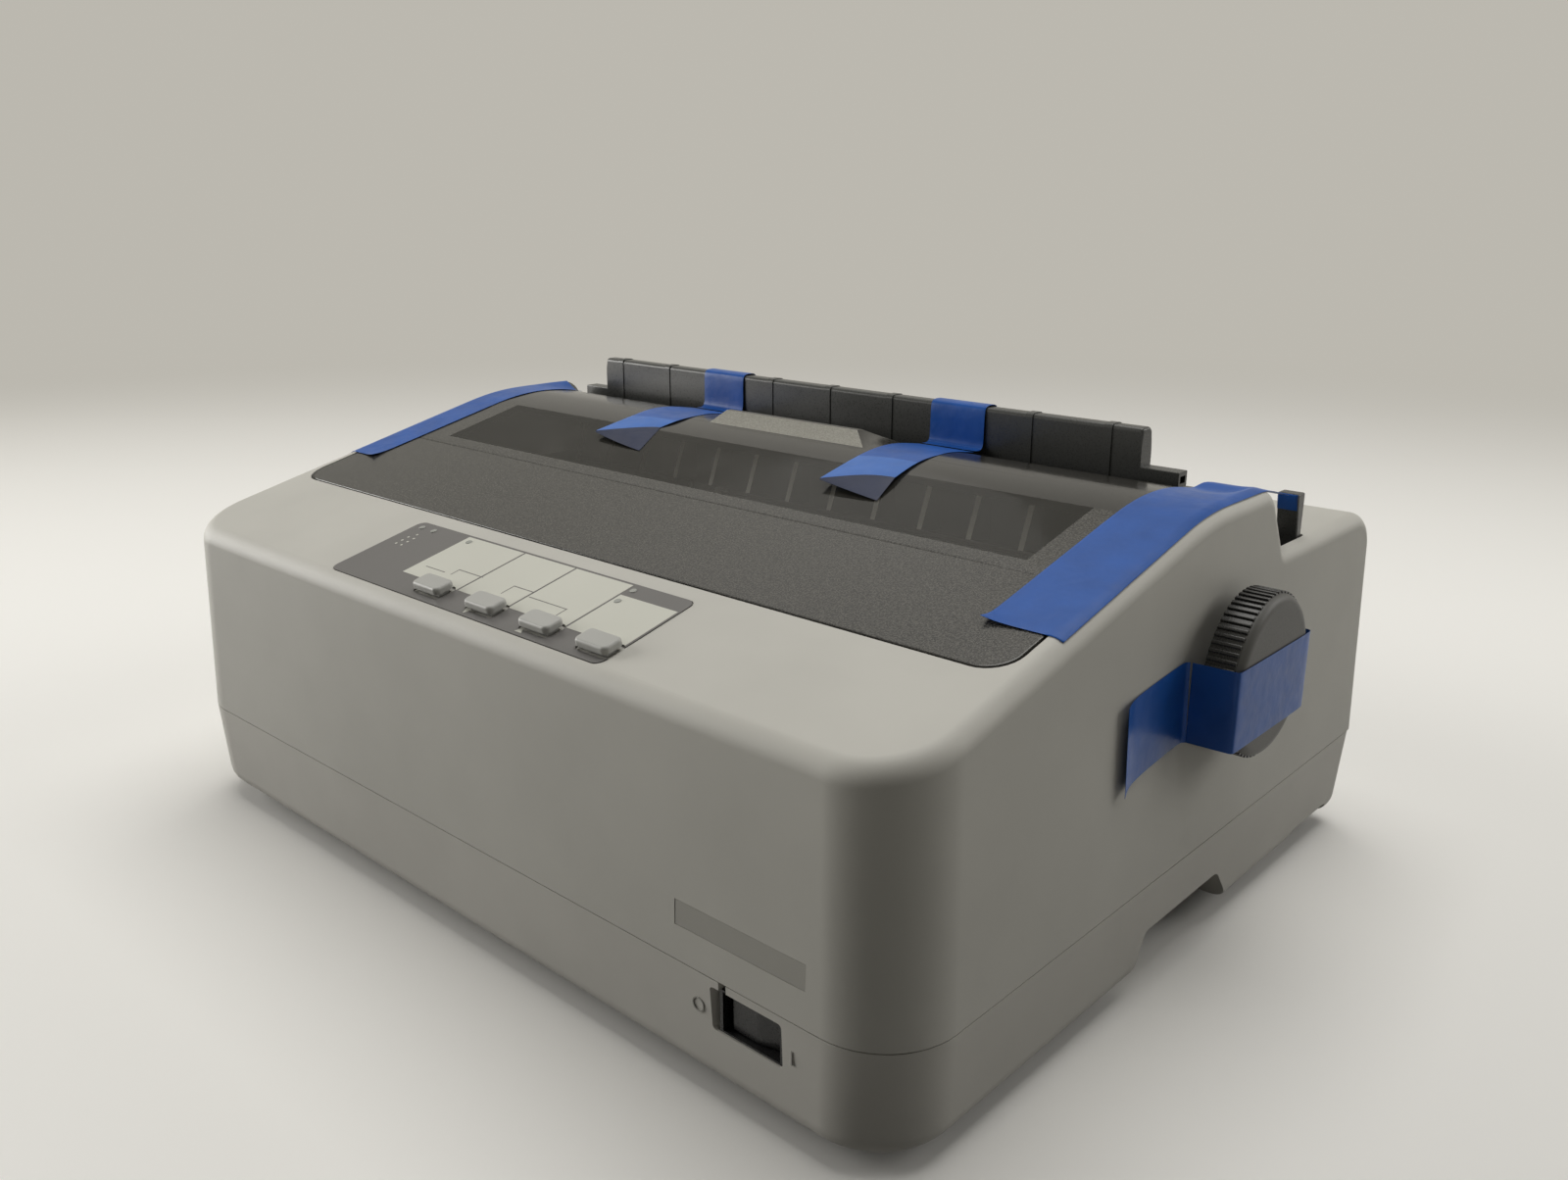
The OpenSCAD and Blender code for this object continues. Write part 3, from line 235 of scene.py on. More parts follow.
def rod(axis, start, end, a, b, radius, sides=48, size=0.0):
    """A round rod along one axis, at a and b on the other two."""
    bm = bmesh.new()
    bmesh.ops.create_cone(bm, cap_ends=True, segments=sides, radius1=radius,
                          radius2=radius, depth=end - start)
    if size:
        soften(bm, [e for e in bm.edges if e.calc_face_angle(0.0) > 1.0], size, 2)
    mid = (start + end) / 2
    turn = {"x": Matrix.Rotation(math.pi / 2, 4, "Y"),
            "y": Matrix.Rotation(-math.pi / 2, 4, "X"), "z": Matrix.Identity(4)}[axis]
    place = {"x": (mid, a, b), "y": (a, mid, b), "z": (a, b, mid)}[axis]
    bmesh.ops.transform(bm, matrix=Matrix.Translation(place) @ turn, verts=bm.verts)
    return bm


def joined(first, *others):
    """One mesh that holds all the shapes side by side."""
    for other in others:
        work = bpy.data.meshes.new("work")
        other.to_mesh(work)
        other.free()
        first.from_mesh(work)
        bpy.data.meshes.remove(work)
    return first


def cut(shape, tool, how="DIFFERENCE"):
    """Takes the tool out of the shape, or with INTERSECT or UNION keeps or adds it."""
    pair = []
    for work in (shape, tool):
        mesh = bpy.data.meshes.new("work")
        work.to_mesh(mesh)
        work.free()
        pair.append(bpy.data.objects.new("work", mesh))
        scene.collection.objects.link(pair[-1])
    modifier = pair[0].modifiers.new("cut", "BOOLEAN")
    modifier.object = pair[1]
    modifier.operation = how
    modifier.solver = "EXACT"
    result = bmesh.new()
    result.from_object(pair[0], bpy.context.evaluated_depsgraph_get())
    for obj in pair:
        bpy.data.meshes.remove(obj.data)
    return result


def settle(name, bm, *finishes, sharp=32.0):
    """Puts a finished shape into the frame as an object, smooth but for its sharp edges."""
    bmesh.ops.transform(bm, matrix=INTO_FRAME, verts=bm.verts)
    for face in bm.faces:
        face.smooth = True
    for edge in bm.edges:
        edge.smooth = edge.calc_face_angle(0.0) < math.radians(sharp)
    mesh = bpy.data.meshes.new(name)
    bm.to_mesh(mesh)
    bm.free()
    for finish in finishes:
        mesh.materials.append(finish)
    piece = bpy.data.objects.new(name, mesh)
    scene.collection.objects.link(piece)
    weigh = piece.modifiers.new("flat_faces", "WEIGHTED_NORMAL")
    weigh.keep_sharp = True
    return piece


def on_deck(bm, y):
    """Lays a shape drawn flat at zero on the sloping deck, its origin at y."""
    lay = Matrix.Translation((0, y, deck_height(y))) @ Matrix.Rotation(DECK_TILT, 4, "X")
    bmesh.ops.transform(bm, matrix=lay, verts=bm.verts)
    return bm


def noise(nodes, links, across, detail=2.0, stretch=(1, 1, 1)):
    """A noise in the piece's own space whose blotches are about the given size in mm."""
    place = nodes.new("ShaderNodeTexCoord")
    fit = nodes.new("ShaderNodeMapping")
    fit.inputs["Scale"].default_value = stretch
    pattern = nodes.new("ShaderNodeTexNoise")
    pattern.inputs["Scale"].default_value = 1.0 / (across * MM)
    pattern.inputs["Detail"].default_value = detail
    links.new(place.outputs["Object"], fit.inputs["Vector"])
    links.new(fit.outputs["Vector"], pattern.inputs["Vector"])
    return pattern.outputs["Fac"]


def spread(nodes, links, source, low, high, start=0.3, stop=0.7):
    """Maps a noise onto a range of values, or of colours where low and high are colours."""
    if isinstance(low, tuple):
        ramp = nodes.new("ShaderNodeMix")
        ramp.data_type = "RGBA"
        ramp.inputs[6].default_value = (*low, 1.0)
        ramp.inputs[7].default_value = (*high, 1.0)
        links.new(spread(nodes, links, source, 0.0, 1.0, start, stop), ramp.inputs[0])
        return ramp.outputs[2]
    fit = nodes.new("ShaderNodeMapRange")
    fit.inputs["From Min"].default_value = start
    fit.inputs["From Max"].default_value = stop
    fit.inputs["To Min"].default_value = low
    fit.inputs["To Max"].default_value = high
    links.new(source, fit.inputs["Value"])
    return fit.outputs["Result"]


def finish_of(name, colour, roughness, grain=0.5, depth=0.02, patch=40.0, vary=0.04,
              metal=0.0, stretch=(1, 1, 1)):
    """A surface finish: its colour varies in soft patches, its grain is a fine relief."""
    finish = bpy.data.materials.new(name)
    finish.use_nodes = True
    nodes, links = finish.node_tree.nodes, finish.node_tree.links
    shader = nodes["Principled BSDF"]
    shader.inputs["Metallic"].default_value = metal
    dark = tuple(c * (1 - vary) for c in colour)
    pale = tuple(min(c * (1 + vary), 1.0) for c in colour)
    patches = noise(nodes, links, patch, 3.0, stretch)
    links.new(spread(nodes, links, patches, dark, pale), shader.inputs["Base Color"])
    fine = noise(nodes, links, grain, 2.0, stretch)
    links.new(spread(nodes, links, fine, roughness - 0.05, roughness + 0.05),
              shader.inputs["Roughness"])
    relief = nodes.new("ShaderNodeBump")
    relief.inputs["Strength"].default_value = 0.6
    relief.inputs["Distance"].default_value = depth * MM
    links.new(fine, relief.inputs["Height"])
    links.new(relief.outputs["Normal"], shader.inputs["Normal"])
    return finish


case_grey = finish_of("case_grey", (0.52, 0.51, 0.465), 0.56, grain=0.45, depth=0.02)

shell = bar([(-HALF_D, PARTING), (-135.34, 107.67), (CREST_START, CREST), (CREST_END, CREST),
             (61, PLATEAU), (137.0, PLATEAU), (HALF_D, PARTING)], "x", -HALF_W, HALF_W)
for vert in shell.verts:
    vert.co.x *= 1 - (vert.co.z - PARTING) * DRAFT / HALF_W
soften(shell, uprights(shell, end=-130), 23, 12)
for y, z, size, steps in ((CREST_START, CREST, 11.95, 10), (CREST_END, CREST, 5.2, 8),
                          (61, PLATEAU, 1.0, 3), (137.0, PLATEAU, 13.0, 10)):
    soften(shell, ridges(shell, y, z), size, steps)
rim = [e for e in shell.edges if e.calc_face_angle(0.0) > math.radians(25)
       and min(v.co.z for v in e.verts) > PARTING - 0.1 and max(v.co.z for v in e.verts) > 38.5]
soften(shell, rim, RIM_ROUND, 6)
bmesh.ops.remove_doubles(shell, verts=shell.verts, dist=0.01)

cavity = bar([(-134.9, 37), (-132.8, 105.6), (-98, 114.05), (-98, 110.35), (CREST_START, 135.9),
              (42.9, 135.9), (54.4, 117.9), (127.5, 117.9), (134.2, 111.5), (134.9, 37)],
             "x", CASE_WALL - HALF_W, HALF_W - CASE_WALL)
for vert in cavity.verts:
    vert.co.x *= 1 - (vert.co.z - PARTING) * DRAFT / HALF_W
soften(cavity, uprights(cavity, end=-130), 20.4, 8)
shell = cut(shell, cavity)
# lugs of the cover's hinge, ears of the sheet guide and seats of the separator
for lug in ((-170.5, -161.5, -88, -79, 111.4, 116.8), (161.5, 170.5, -88, -79, 111.4, 116.8),
            (-158.5, -155, 65, 77, 114.5, 125), (129, 132.5, 65, 77, 114.5, 125),
            (-160, -149, 56, 66, 105.5, 111.4), (-160, -156.2, 56, 66, 105.5, 119.5),
            (121, 139, 56, 63.9, 105.5, 111.4), (136.2, 139, 56, 63.9, 105.5, 119.5)):
    shell = cut(shell, block(*lug), "UNION")
# the recess that the cover lies in, and the bay below it
recess = block(-165, 165, -88.6, 62.5, 60, 170)
soften(recess, uprights(recess, end=-80), 9.6, 8)
skin = bar([(-91, 126.4), (-4.54, 147.4), (19.46, 150.3), (63, 150.3), (63, PLATEAU + 0.1),
            (58, PLATEAU + 0.1), (51.2, 134.6), (48, 134.8), (41.5, 138.9), (19.46, 138.9),
            (CREST_START, 138.2), (-4.54, 136.0), (-91, 115.0)], "x", -HALF_W, HALF_W)
shell = cut(shell, cut(recess, skin, "INTERSECT"))
shell = cut(shell, block(-154, 150, -74, 62, 68, 152))
for reach, radius in ((156, 5.6), (159, 5.2), (160.6, 4.9), (162, 4.45)):
    shell = cut(shell, rod("x", -reach, reach, HINGE_Y, HINGE_Z, radius))
# the paper well, the lever's slot and the hole for the knob's shaft
shell = cut(shell, block(-156, 129, 42, 131, 111.5, 152))
shell = cut(shell, block(128, 136, 42, 64, 111.5, 152))
slot = block(159, 167.6, 61, 84, 112.5, 122)
soften(slot, uprights(slot), 1.2, 3)
shell = cut(shell, slot)
shell = cut(shell, rod("x", 158, 176, KNOB_Y, KNOB_Z, 8))
# the bed of the control panel, the holes of its buttons, and the plate's pocket
bed = block(-70.1, 67.3, -0.2, 37.55, -0.5, 4.5)
soften(bed, uprights(bed), 3.0, 5)
shell = cut(shell, on_deck(bed, PANEL_FRONT))
for x in BUTTON_PLACES:
    shell = cut(shell, on_deck(block(x - 5.45, x + 5.45, -2.3, 2.3, -8, 4), BUTTON_LINE))
shell = cut(shell, block(101, 146, -140, -136.5, 48, 55.3))
posts = [rod("z", PARTING, 60, x, y, 4.2) for x, y in SCREW_PLACES]
upper = settle("upper_shell", joined(shell, *posts), case_grey)
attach(upper, "case")
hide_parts("upper_case")

# ---- Lower case ----
# The tray that carries everything, moulded in the same plastic, its tone a little lighter than
# the upper case as painted light from the floor's bounce. Its sides draw in towards the feet,
# the bottom edge is well rounded, and both sides have hand and cable cut-outs.
TRAY_TOP = 37.7
TRAY_BOTTOM = 5.0
FOOT_PLACES = [(x, y) for x in (-138, 138) for y in (-112, 70)]
# Lighter than the upper case: painted light standing in for the floor's bounce on the tray.
tray_grey_painted_bounce = finish_of("tray_grey_painted_bounce", (0.56, 0.545, 0.50), 0.58, grain=0.45, depth=0.02)


def tray_form(inset, top):
    """The outside of the tray, or its inside where it is inset by the wall."""
    form = block(-HALF_W + inset, HALF_W - inset, -HALF_D + inset, HALF_D - inset,
                 TRAY_BOTTOM + inset, top)
    for vert in form.verts:
        if vert.co.z < 20:
            vert.co.x *= 171.8 / HALF_W
            vert.co.y *= 136.0 / HALF_D
    soften(form, uprights(form, end=0), 23 - inset, 12)
    soften(form, uprights(form, start=0), 7 - inset, 6)
    low = [e for e in form.edges if max(v.co.z for v in e.verts) < 12
           and e.calc_face_angle(0.0) > math.radians(40)]
    soften(form, low, 6.8 - inset, 6)
    return form


def side_notches(grow):
    """The cut-outs low in one side, with room round them for the wall that lines them."""
    shapes = []
    for outline in ([(-23 - grow, 2), (-17 - grow, 21 + grow), (30 + grow, 21 + grow),
                     (46 + grow, 2)],
                    [(87 - grow, 2), (93 - grow, 11 + grow), (124 + grow, 11 + grow),
                     (130 + grow, 2)]):
        notch = bar(outline, "x", 161.5 - grow, 176)
        soften(notch, edges_where(notch, lambda at, way: abs(way.x) > 0.9 and at.z > 9),
               2.4, 5)
        shapes.append(notch)
    right = joined(*shapes)
    left = right.copy()
    bmesh.ops.scale(left, vec=(-1, 1, 1), verts=left.verts)
    bmesh.ops.reverse_faces(left, faces=left.faces)
    return joined(right, left)


tray = cut(tray_form(0.0, TRAY_TOP), cut(tray_form(CASE_WALL, 50.0), side_notches(CASE_WALL)))
tray = cut(tray, side_notches(0.0))
for x, y in SCREW_PLACES:
    tray = cut(tray, rod("z", 6.6, TRAY_TOP, x, y, 4.2), "UNION")
    tray = cut(tray, rod("z", 4, 28, x, y, 3.3))
for x, y in FOOT_PLACES:
    tray = cut(tray, rod("z", 4, 6.2, x, y, 9.3))
window = bar([(116.4, 22.6), (138.5, 22.6), (138.5, 35.4), (116.4, 35.4)], "y", -140, -133)
soften(window, edges_where(window, lambda at, way: abs(way.y) > 0.9), 1.2, 4)
for vert in window.verts:
    if vert.co.y < -139 and vert.co.x < 120:
        vert.co.x -= 4.2
tray = cut(tray, window)
tray = cut(tray, block(117.0, 119.6, -140, -134, 34, 40))
for x0, x1, z0, z1 in ((96, 126, 12.5, 33.5), (-143, -81, 19.7, 34), (-71, -37, 19.7, 33),
                       (-27, -12, 19.7, 32)):
    tray = cut(tray, block(x0, x1, HALF_D - 9, HALF_D + 1, z0, z1))
lower = settle("lower_tray", tray, tray_grey_painted_bounce)
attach(lower, "case")
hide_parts("lower_case")

# ---- Rubber feet ----
# Four ground rubber discs pressed into sockets in the tray, so the printer neither slides
# nor hums on the table.
foot_rubber = finish_of("foot_rubber", (0.022, 0.022, 0.023), 0.75, grain=0.8, depth=0.05)
feet = joined(*[rod("z", 0, 6.1, x, y, 9, size=0.8) for x, y in FOOT_PLACES])
feet = settle("foot_discs", feet, foot_rubber)
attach(feet, "case")
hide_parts("rubber_feet")

# ---- Chassis ----
# Zinc-coated sheet steel, punched and folded: a base pan, two side frames and a front beam
# with the rail that the carriage's foot slides on. The coating keeps its faint spangle.


def dress(finish, *names):
    """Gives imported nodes, whose shape stays, their real finish."""
    for name in names:
        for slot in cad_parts[name].material_slots:
            slot.material = finish


zinc = finish_of("zinc_coating", (0.50, 0.51, 0.52), 0.34, grain=6.0, depth=0.01, patch=5.0,
                 vary=0.14, metal=1.0)
dress(zinc, "chassis_base", "left_frame", "right_frame", "front_beam")
steel = finish_of("ground_steel", (0.58, 0.58, 0.59), 0.22, grain=0.6, depth=0.004,
                  patch=2.0, vary=0.06, metal=1.0, stretch=(0.03, 1, 1))
dress(steel, "carriage_shaft", "platen_shaft", "tractor_drive_shaft", "tractor_support_shaft")
screw_zinc = finish_of("screw_zinc", (0.56, 0.55, 0.50), 0.3, grain=0.4, depth=0.01, metal=1.0)
dress(screw_zinc, "screws", "belt_tension_spring")
motor_can = finish_of("motor_can", (0.36, 0.37, 0.39), 0.36, grain=0.5, depth=0.01,
                      patch=8.0, vary=0.08, metal=1.0, stretch=(1, 0.1, 1))
dress(motor_can, "carriage_motor", "feed_motor")

# ---- Circuit boards ----
# The main board is green glass laminate with its chips and capacitors along the left, and
# the power board is bare brown laminate. Both stand on posts of the base pan.
BOARD_TOP = 19.8


def lacquer(name, board, part):
    """Board lacquer with faint tracks, and another tone for the parts that stand on it."""
    finish = finish_of(name, board, 0.35, grain=3.0, depth=0.02, patch=2.5, vary=0.22)
    nodes, links = finish.node_tree.nodes, finish.node_tree.links
    shader = nodes["Principled BSDF"]
    place = nodes.new("ShaderNodeTexCoord")
    parts = nodes.new("ShaderNodeSeparateXYZ")
    links.new(place.outputs["Object"], parts.inputs[0])
    above = nodes.new("ShaderNodeMath")
    above.operation = "GREATER_THAN"
    above.inputs[1].default_value = BOARD_TOP * MM
    links.new(parts.outputs["Z"], above.inputs[0])
    choose = nodes.new("ShaderNodeMix")
    choose.data_type = "RGBA"
    choose.inputs[7].default_value = (*part, 1.0)
    links.new(shader.inputs["Base Color"].links[0].from_socket, choose.inputs[6])
    links.new(above.outputs[0], choose.inputs[0])
    links.new(choose.outputs[2], shader.inputs["Base Color"])
    return finish


dress(lacquer("main_lacquer", (0.020, 0.105, 0.045), (0.03, 0.03, 0.033)), "main_board")
dress(lacquer("power_laminate", (0.30, 0.19, 0.075), (0.10, 0.10, 0.11)), "power_board")
dress(finish_of("panel_laminate", (0.022, 0.11, 0.05), 0.4, grain=3.0, patch=2.5, vary=0.2),
      "panel_board")

# ---- Mains inlet and sockets ----
# At the back: a black moulded inlet for the mains lead, and the metal shells of the
# parallel, serial and data sockets, set in windows of the tray.
socket_black = finish_of("socket_black", (0.018, 0.018, 0.019), 0.42, grain=0.5, depth=0.02)
dress(socket_black, "mains_inlet")
socket_shell = finish_of("socket_shell", (0.42, 0.42, 0.43), 0.3, grain=1.0, depth=0.01,
                         patch=6.0, vary=0.07, metal=1.0)
dress(socket_shell, "rear_connectors")

# ---- Gears, rollers and belt ----
# White acetal gears run on studs of the right frame and turn the platen and the tractors
# together. The platen is a ground rubber sleeve on a steel shaft in plastic bushings.
acetal = finish_of("acetal", (0.76, 0.75, 0.70), 0.38, grain=1.0, depth=0.01, vary=0.02)
dress(acetal, "platen_gear", "feed_idler_gear", "tractor_idler_gear", "tractor_gear",
      "platen_bushings", "idler_pulley", "sprocket_left", "sprocket_right")
brass = finish_of("turned_brass", (0.60, 0.44, 0.17), 0.28, grain=0.5, depth=0.006,
                  patch=6.0, vary=0.06, metal=1.0)
dress(brass, "feed_pinion", "drive_pulley")
platen_rubber = finish_of("platen_rubber", (0.020, 0.020, 0.021), 0.62, grain=0.25, depth=0.012,
                          patch=10.0, vary=0.12, stretch=(0.4, 1, 1))
dress(platen_rubber, "platen_roller", "pinch_rollers")
belt_rubber = finish_of("belt_rubber", (0.026, 0.026, 0.026), 0.7, grain=0.3, depth=0.03)
dress(belt_rubber, "carriage_belt")
dark_moulding = finish_of("dark_moulding", (0.030, 0.030, 0.032), 0.5, grain=0.4, depth=0.02)
dress(dark_moulding, "tractor_left", "tractor_right", "tractor_door_left",
      "tractor_door_right", "idler_holder", "paper_chute")

# ---- Paper guide ----
# A dark moulded wall behind the platen with a row of slim pale ribs, which hold the paper off
# the wall and show through the cover's window. The ribs' pale is brightened as painted light
# for the dim bay under the window, and their sides take the wall's dark finish as painted shade.
RIB_COUNT = 13
RIB_PITCH = 21.3
RIB_WIDTH = 2.1
FIRST_RIB = -142.0
guide_dark = finish_of("guide_dark", (0.035, 0.034, 0.031), 0.55, grain=0.5, depth=0.02)
# Brighter than the ribs' own pale plastic: painted light for the dim bay under the window.
guide_pale_painted_light = finish_of("guide_pale_painted_light", (0.88, 0.85, 0.72), 0.45, grain=0.5, depth=0.01)
guide = joined(block(-152, 137, 43, 46, 108, 129, 0.5),
               block(-154.5, -147.5, 42, 50, 108, 112, 0.4),
               block(133, 140, 42, 50, 108, 112, 0.4))
dark_faces = len(guide.faces)
for number in range(RIB_COUNT):
    left = FIRST_RIB + number * RIB_PITCH
    guide = joined(guide, bar([(31, 112), (44, 110), (44, 131), (38.5, 131)], "x",
                              left, left + RIB_WIDTH))
guide.faces.ensure_lookup_table()
# Rib faces that face the sides take the wall's dark finish as painted shade between the ribs;
# the rest take the brightened pale finish, painted light.
for face in guide.faces[dark_faces:]:
    face.material_index = int(abs(face.normal.x) < 0.5)
guide = settle("paper_guide_wall", guide, guide_dark, guide_pale_painted_light)
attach(guide, "case")
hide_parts("paper_guide")

# ---- Carriage and print head ----
# A glass-filled moulding rides on the steel rod. It carries the head: a dark finned
# casting with a narrow nose that holds the pins up to the ribbon.
carriage_black = finish_of("carriage_black", (0.028, 0.028, 0.03), 0.55, grain=0.5, depth=0.03)
dress(carriage_black, "carriage")
head_cast = finish_of("head_casting", (0.10, 0.10, 0.105), 0.48, grain=0.8, depth=0.05,
                      patch=6.0, vary=0.12, metal=0.6)
dress(head_cast, "print_head")
cable_film = finish_of("cable_film", (0.62, 0.62, 0.58), 0.35, grain=0.6, depth=0.01,
                       stretch=(0.05, 4, 1))
dress(cable_film, "head_cable")

# ---- Ribbon cartridge ----
# A flat black box with a winding knob, clipped over the beam. Two arms reach past the
# platen's ends, and the inked ribbon runs between them in front of the rubber.
cartridge_black = finish_of("cartridge_black", (0.016, 0.016, 0.018), 0.32, grain=0.6,
                            depth=0.012)
dress(cartridge_black, "ribbon_cartridge", "ribbon_knob")
ribbon_ink = finish_of("ribbon_ink", (0.010, 0.010, 0.014), 0.8, grain=0.25, depth=0.03)
ribbon = settle("ribbon_strip", block(-129.2, 125.2, 1.2, 1.45, 90.5, 101.5), ribbon_ink)
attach(ribbon, "cartridge")

# ---- Levers ----
# Two moulded levers on studs. The dark release lever stands in its slot behind the crest on
# the right, and the small green one inside sets the gap between the head and the paper.
LEVER_STUD = (75.0, 108.5)
charcoal = finish_of("charcoal", (0.040, 0.041, 0.038), 0.30, grain=0.5, depth=0.012)
lever = bar([(69, 106.5), (82, 106.5), (82, 134.9), (77, 134.9), (79.1, 121), (76.5, 112)], "x",
            160, 167)
soften(lever, [e for e in lever.edges if e.calc_face_angle(0.0) > 0.9
               and min(v.co.z for v in e.verts) > 106.6], 0.6, 3)
lever = cut(lever, rod("x", 160, 167, *LEVER_STUD, 6.5), "UNION")
lever = cut(lever, rod("x", 159, 168, *LEVER_STUD, 2.55))
lever = settle("release_handle", lever, charcoal)
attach(lever, "release_lever")
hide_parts("release_lever")
gap_green = finish_of("gap_green", (0.08, 0.20, 0.15), 0.45, grain=0.5, depth=0.02)
dress(gap_green, "gap_lever")

# ---- Sheet guide ----
# A ribbed flap of the same dark plastic over the tractors, which single sheets slide up. It
# hangs on two ears of the case, and two edge guides run in its slots.
dress(charcoal, "sheet_guide", "edge_guide_left", "edge_guide_right")

# ---- Paper separator ----
# The tall dark wall behind the paper slot. It is hollow behind, its top is rounded over,
# fine bands wrap it at intervals, and a short stub stands out at each end.
BAND_COUNT = 9
BAND_PITCH = 31.0
BAND_WIDTH = 3.0
FIRST_BAND = -138.2
wall = bar([(57.7, 126), (64.3, 126), (64.8, 153.3), (57.7, 153.3)], "x", -150, 121)
for y, size, steps in ((57.7, 1.5, 4), (64.8, 2.6, 5)):
    soften(wall, ridges(wall, y, 153.3), size, steps)
soften(wall, [e for e in wall.edges if e.calc_face_angle(0.0) > 1.2 and e.verts[0].co.z > 127
              and e.verts[1].co.z > 127], 1.1, 3)
wall = cut(wall, bar([(60, 120), (66, 120), (66, 149), (60, 151)], "x", -147.5, 118.5))
for number in range(BAND_COUNT):
    right = FIRST_BAND + BAND_PITCH * number
    band = bar([(57.4, 128), (60, 128), (60, 152), (63, 152), (63, 150.5), (65, 150.5),
                (65, 153.6), (57.4, 153.6)], "x", right - BAND_WIDTH, right)
    for y, size in ((57.4, 1.6), (65, 2.7)):
        soften(band, ridges(band, y, 153.6), size, 4)
    wall = cut(wall, band, "UNION")
for x0, x1, z0, z1, h0, h1 in ((-165, -149, 134, 139.5, -166, -154),
                               (120, 134.8, 135, 140.4, 124, 136)):
    stub = block(x0, x1, 57.7, 64, z0, z1, 0.4)
    stub = cut(stub, block(h0, h1, 59, 62.5, z0 + 1.5, z1 - 1.5))
    wall = cut(wall, stub, "UNION")
for x in (-154, 122):
    wall = cut(wall, block(x, x + 4, 58.5, 63.5, 107.6, 138), "UNION")
wall = settle("separator_wall", wall, charcoal)
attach(wall, "separator")
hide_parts("paper_separator")

# ---- Cover ----
# One smoked clear moulding that follows the deck and the crest. Its inside is frosted to a
# dark grain whose sparkle is painted into the colour as lighter specks, apart from a clear
# glossy window over the head, and a frosted lift tab stands up at the back, its front faces
# painted pale as painted light through the tab. It turns on two pins at its front corners.
COVER_HALF = 164.0
WINDOW_HALF = 138.0
WINDOW_FRONT = -37.0
WINDOW_REAR = -2.0
BEND_REACH = 11.9
DROOP_START = 31.0
DROOP = 0.2475
TAB_LEFT = -37.0
TAB_RIGHT = 28.5
TAB_FOOT = 39.5


def smoked(name, deep, painted_glint, roughness, grain, alpha):
    """Smoked plastic: a dark body with small glints painted into its colour as lighter specks,
    as clear as alpha says.
    """
    finish = finish_of(name, deep, roughness, grain=grain, depth=0.05, vary=0.0)
    nodes, links = finish.node_tree.nodes, finish.node_tree.links
    shader = nodes["Principled BSDF"]
    painted_sparkle = noise(nodes, links, grain, 1.0)
    links.new(spread(nodes, links, painted_sparkle, deep, painted_glint, 0.38, 0.66),
              shader.inputs["Base Color"])
    shader.inputs["Alpha"].default_value = alpha
    return finish


# Each smoked finish carries painted glints as lighter specks in its colour; on the crest they
# are fainter than on the frosted front.
frosted = smoked("frosted_smoke", (0.012, 0.0115, 0.010), (0.075, 0.072, 0.062), 0.22, 0.5, 1.0)
window_face = smoked("window_face", (0.055, 0.053, 0.045), (0.065, 0.062, 0.053), 0.1, 20.0,
                     0.45)
window_back = smoked("window_back", (0.022, 0.021, 0.018), (0.026, 0.025, 0.021), 0.1, 20.0,
                     0.06)
crest_smoke = smoked("crest_smoke", (0.010, 0.0095, 0.008), (0.034, 0.032, 0.028), 0.14, 0.5,
                     1.0)
tab_frost_painted_light = smoked("tab_frost_painted_light", (0.17, 0.165, 0.14), (0.30, 0.29, 0.25), 0.42, 0.5, 1.0)

lid = block(-COVER_HALF, COVER_HALF, -87.6, 62, 60, 170)
soften(lid, uprights(lid, end=-80), 9, 10)


def lid_height(y):
    """The top of the cover: up the deck, over the crest and gently down behind it."""
    low = min(deck_height(y), CREST, CREST - (y - DROOP_START) * DROOP)
    return low - sum(max(0.0, BEND_REACH - abs(y - knee)) ** 2 / 200
                     for knee in (CREST_START, DROOP_START))


skin = bar([(-91, deck_height(-91)), (CREST_START, CREST), (DROOP_START, CREST),
            (48.6, lid_height(48.6)), (50.6, 135.6), (48.4, 134.6), (47.0, 135.9),
            (DROOP_START, 139.7), (CREST_START, 139.7), (-91, deck_height(-91) - 2.6)],
           "x", -HALF_W, HALF_W)
for y, z, size, steps in ((CREST_START, CREST, 11.95, 10), (DROOP_START, CREST, 11.4, 10),
                          (CREST_START, 139.7, 11.7, 10), (DROOP_START, 139.7, 11.4, 10),
                          (48.6, lid_height(48.6), 1.5, 4)):
    soften(skin, ridges(skin, y, z), size, steps)
lid = cut(lid, skin, "INTERSECT")
lip = [e for e in lid.edges if len(e.link_faces) == 2
       and max(f.normal.z for f in e.link_faces) > 0.85
       and min(abs(f.normal.z) for f in e.link_faces) < 0.35]
soften(lid, lip, 0.5, 2)
for way, places in (((1, 0, 0), (-WINDOW_HALF, WINDOW_HALF)),
                    ((0, 1, 0), (-43.5, -43, -42.5, WINDOW_FRONT, WINDOW_REAR))):
    for place in places:
        bmesh.ops.bisect_plane(lid, geom=lid.verts[:] + lid.edges[:] + lid.faces[:],
                               dist=0.0001, plane_co=Vector(way) * place, plane_no=way)
for vert in lid.verts:
    if abs(vert.co.y + 43) < 0.1 and vert.co.z > deck_height(-43) - 0.5:
        vert.co.z -= 0.35
tab = bar([(13.2, 141.3), (22.5, 146.3), (25, 146.3), (41, 138.6)], "x", -43, 43)
for vert in tab.verts:
    if vert.co.z > 144:
        vert.co.x = max(TAB_LEFT, min(vert.co.x, TAB_RIGHT))
    elif vert.co.y < 20:
        vert.co.x *= TAB_FOOT / 43
soften(tab, tab.edges, 0.6, 2)
lid = cut(lid, tab, "UNION")
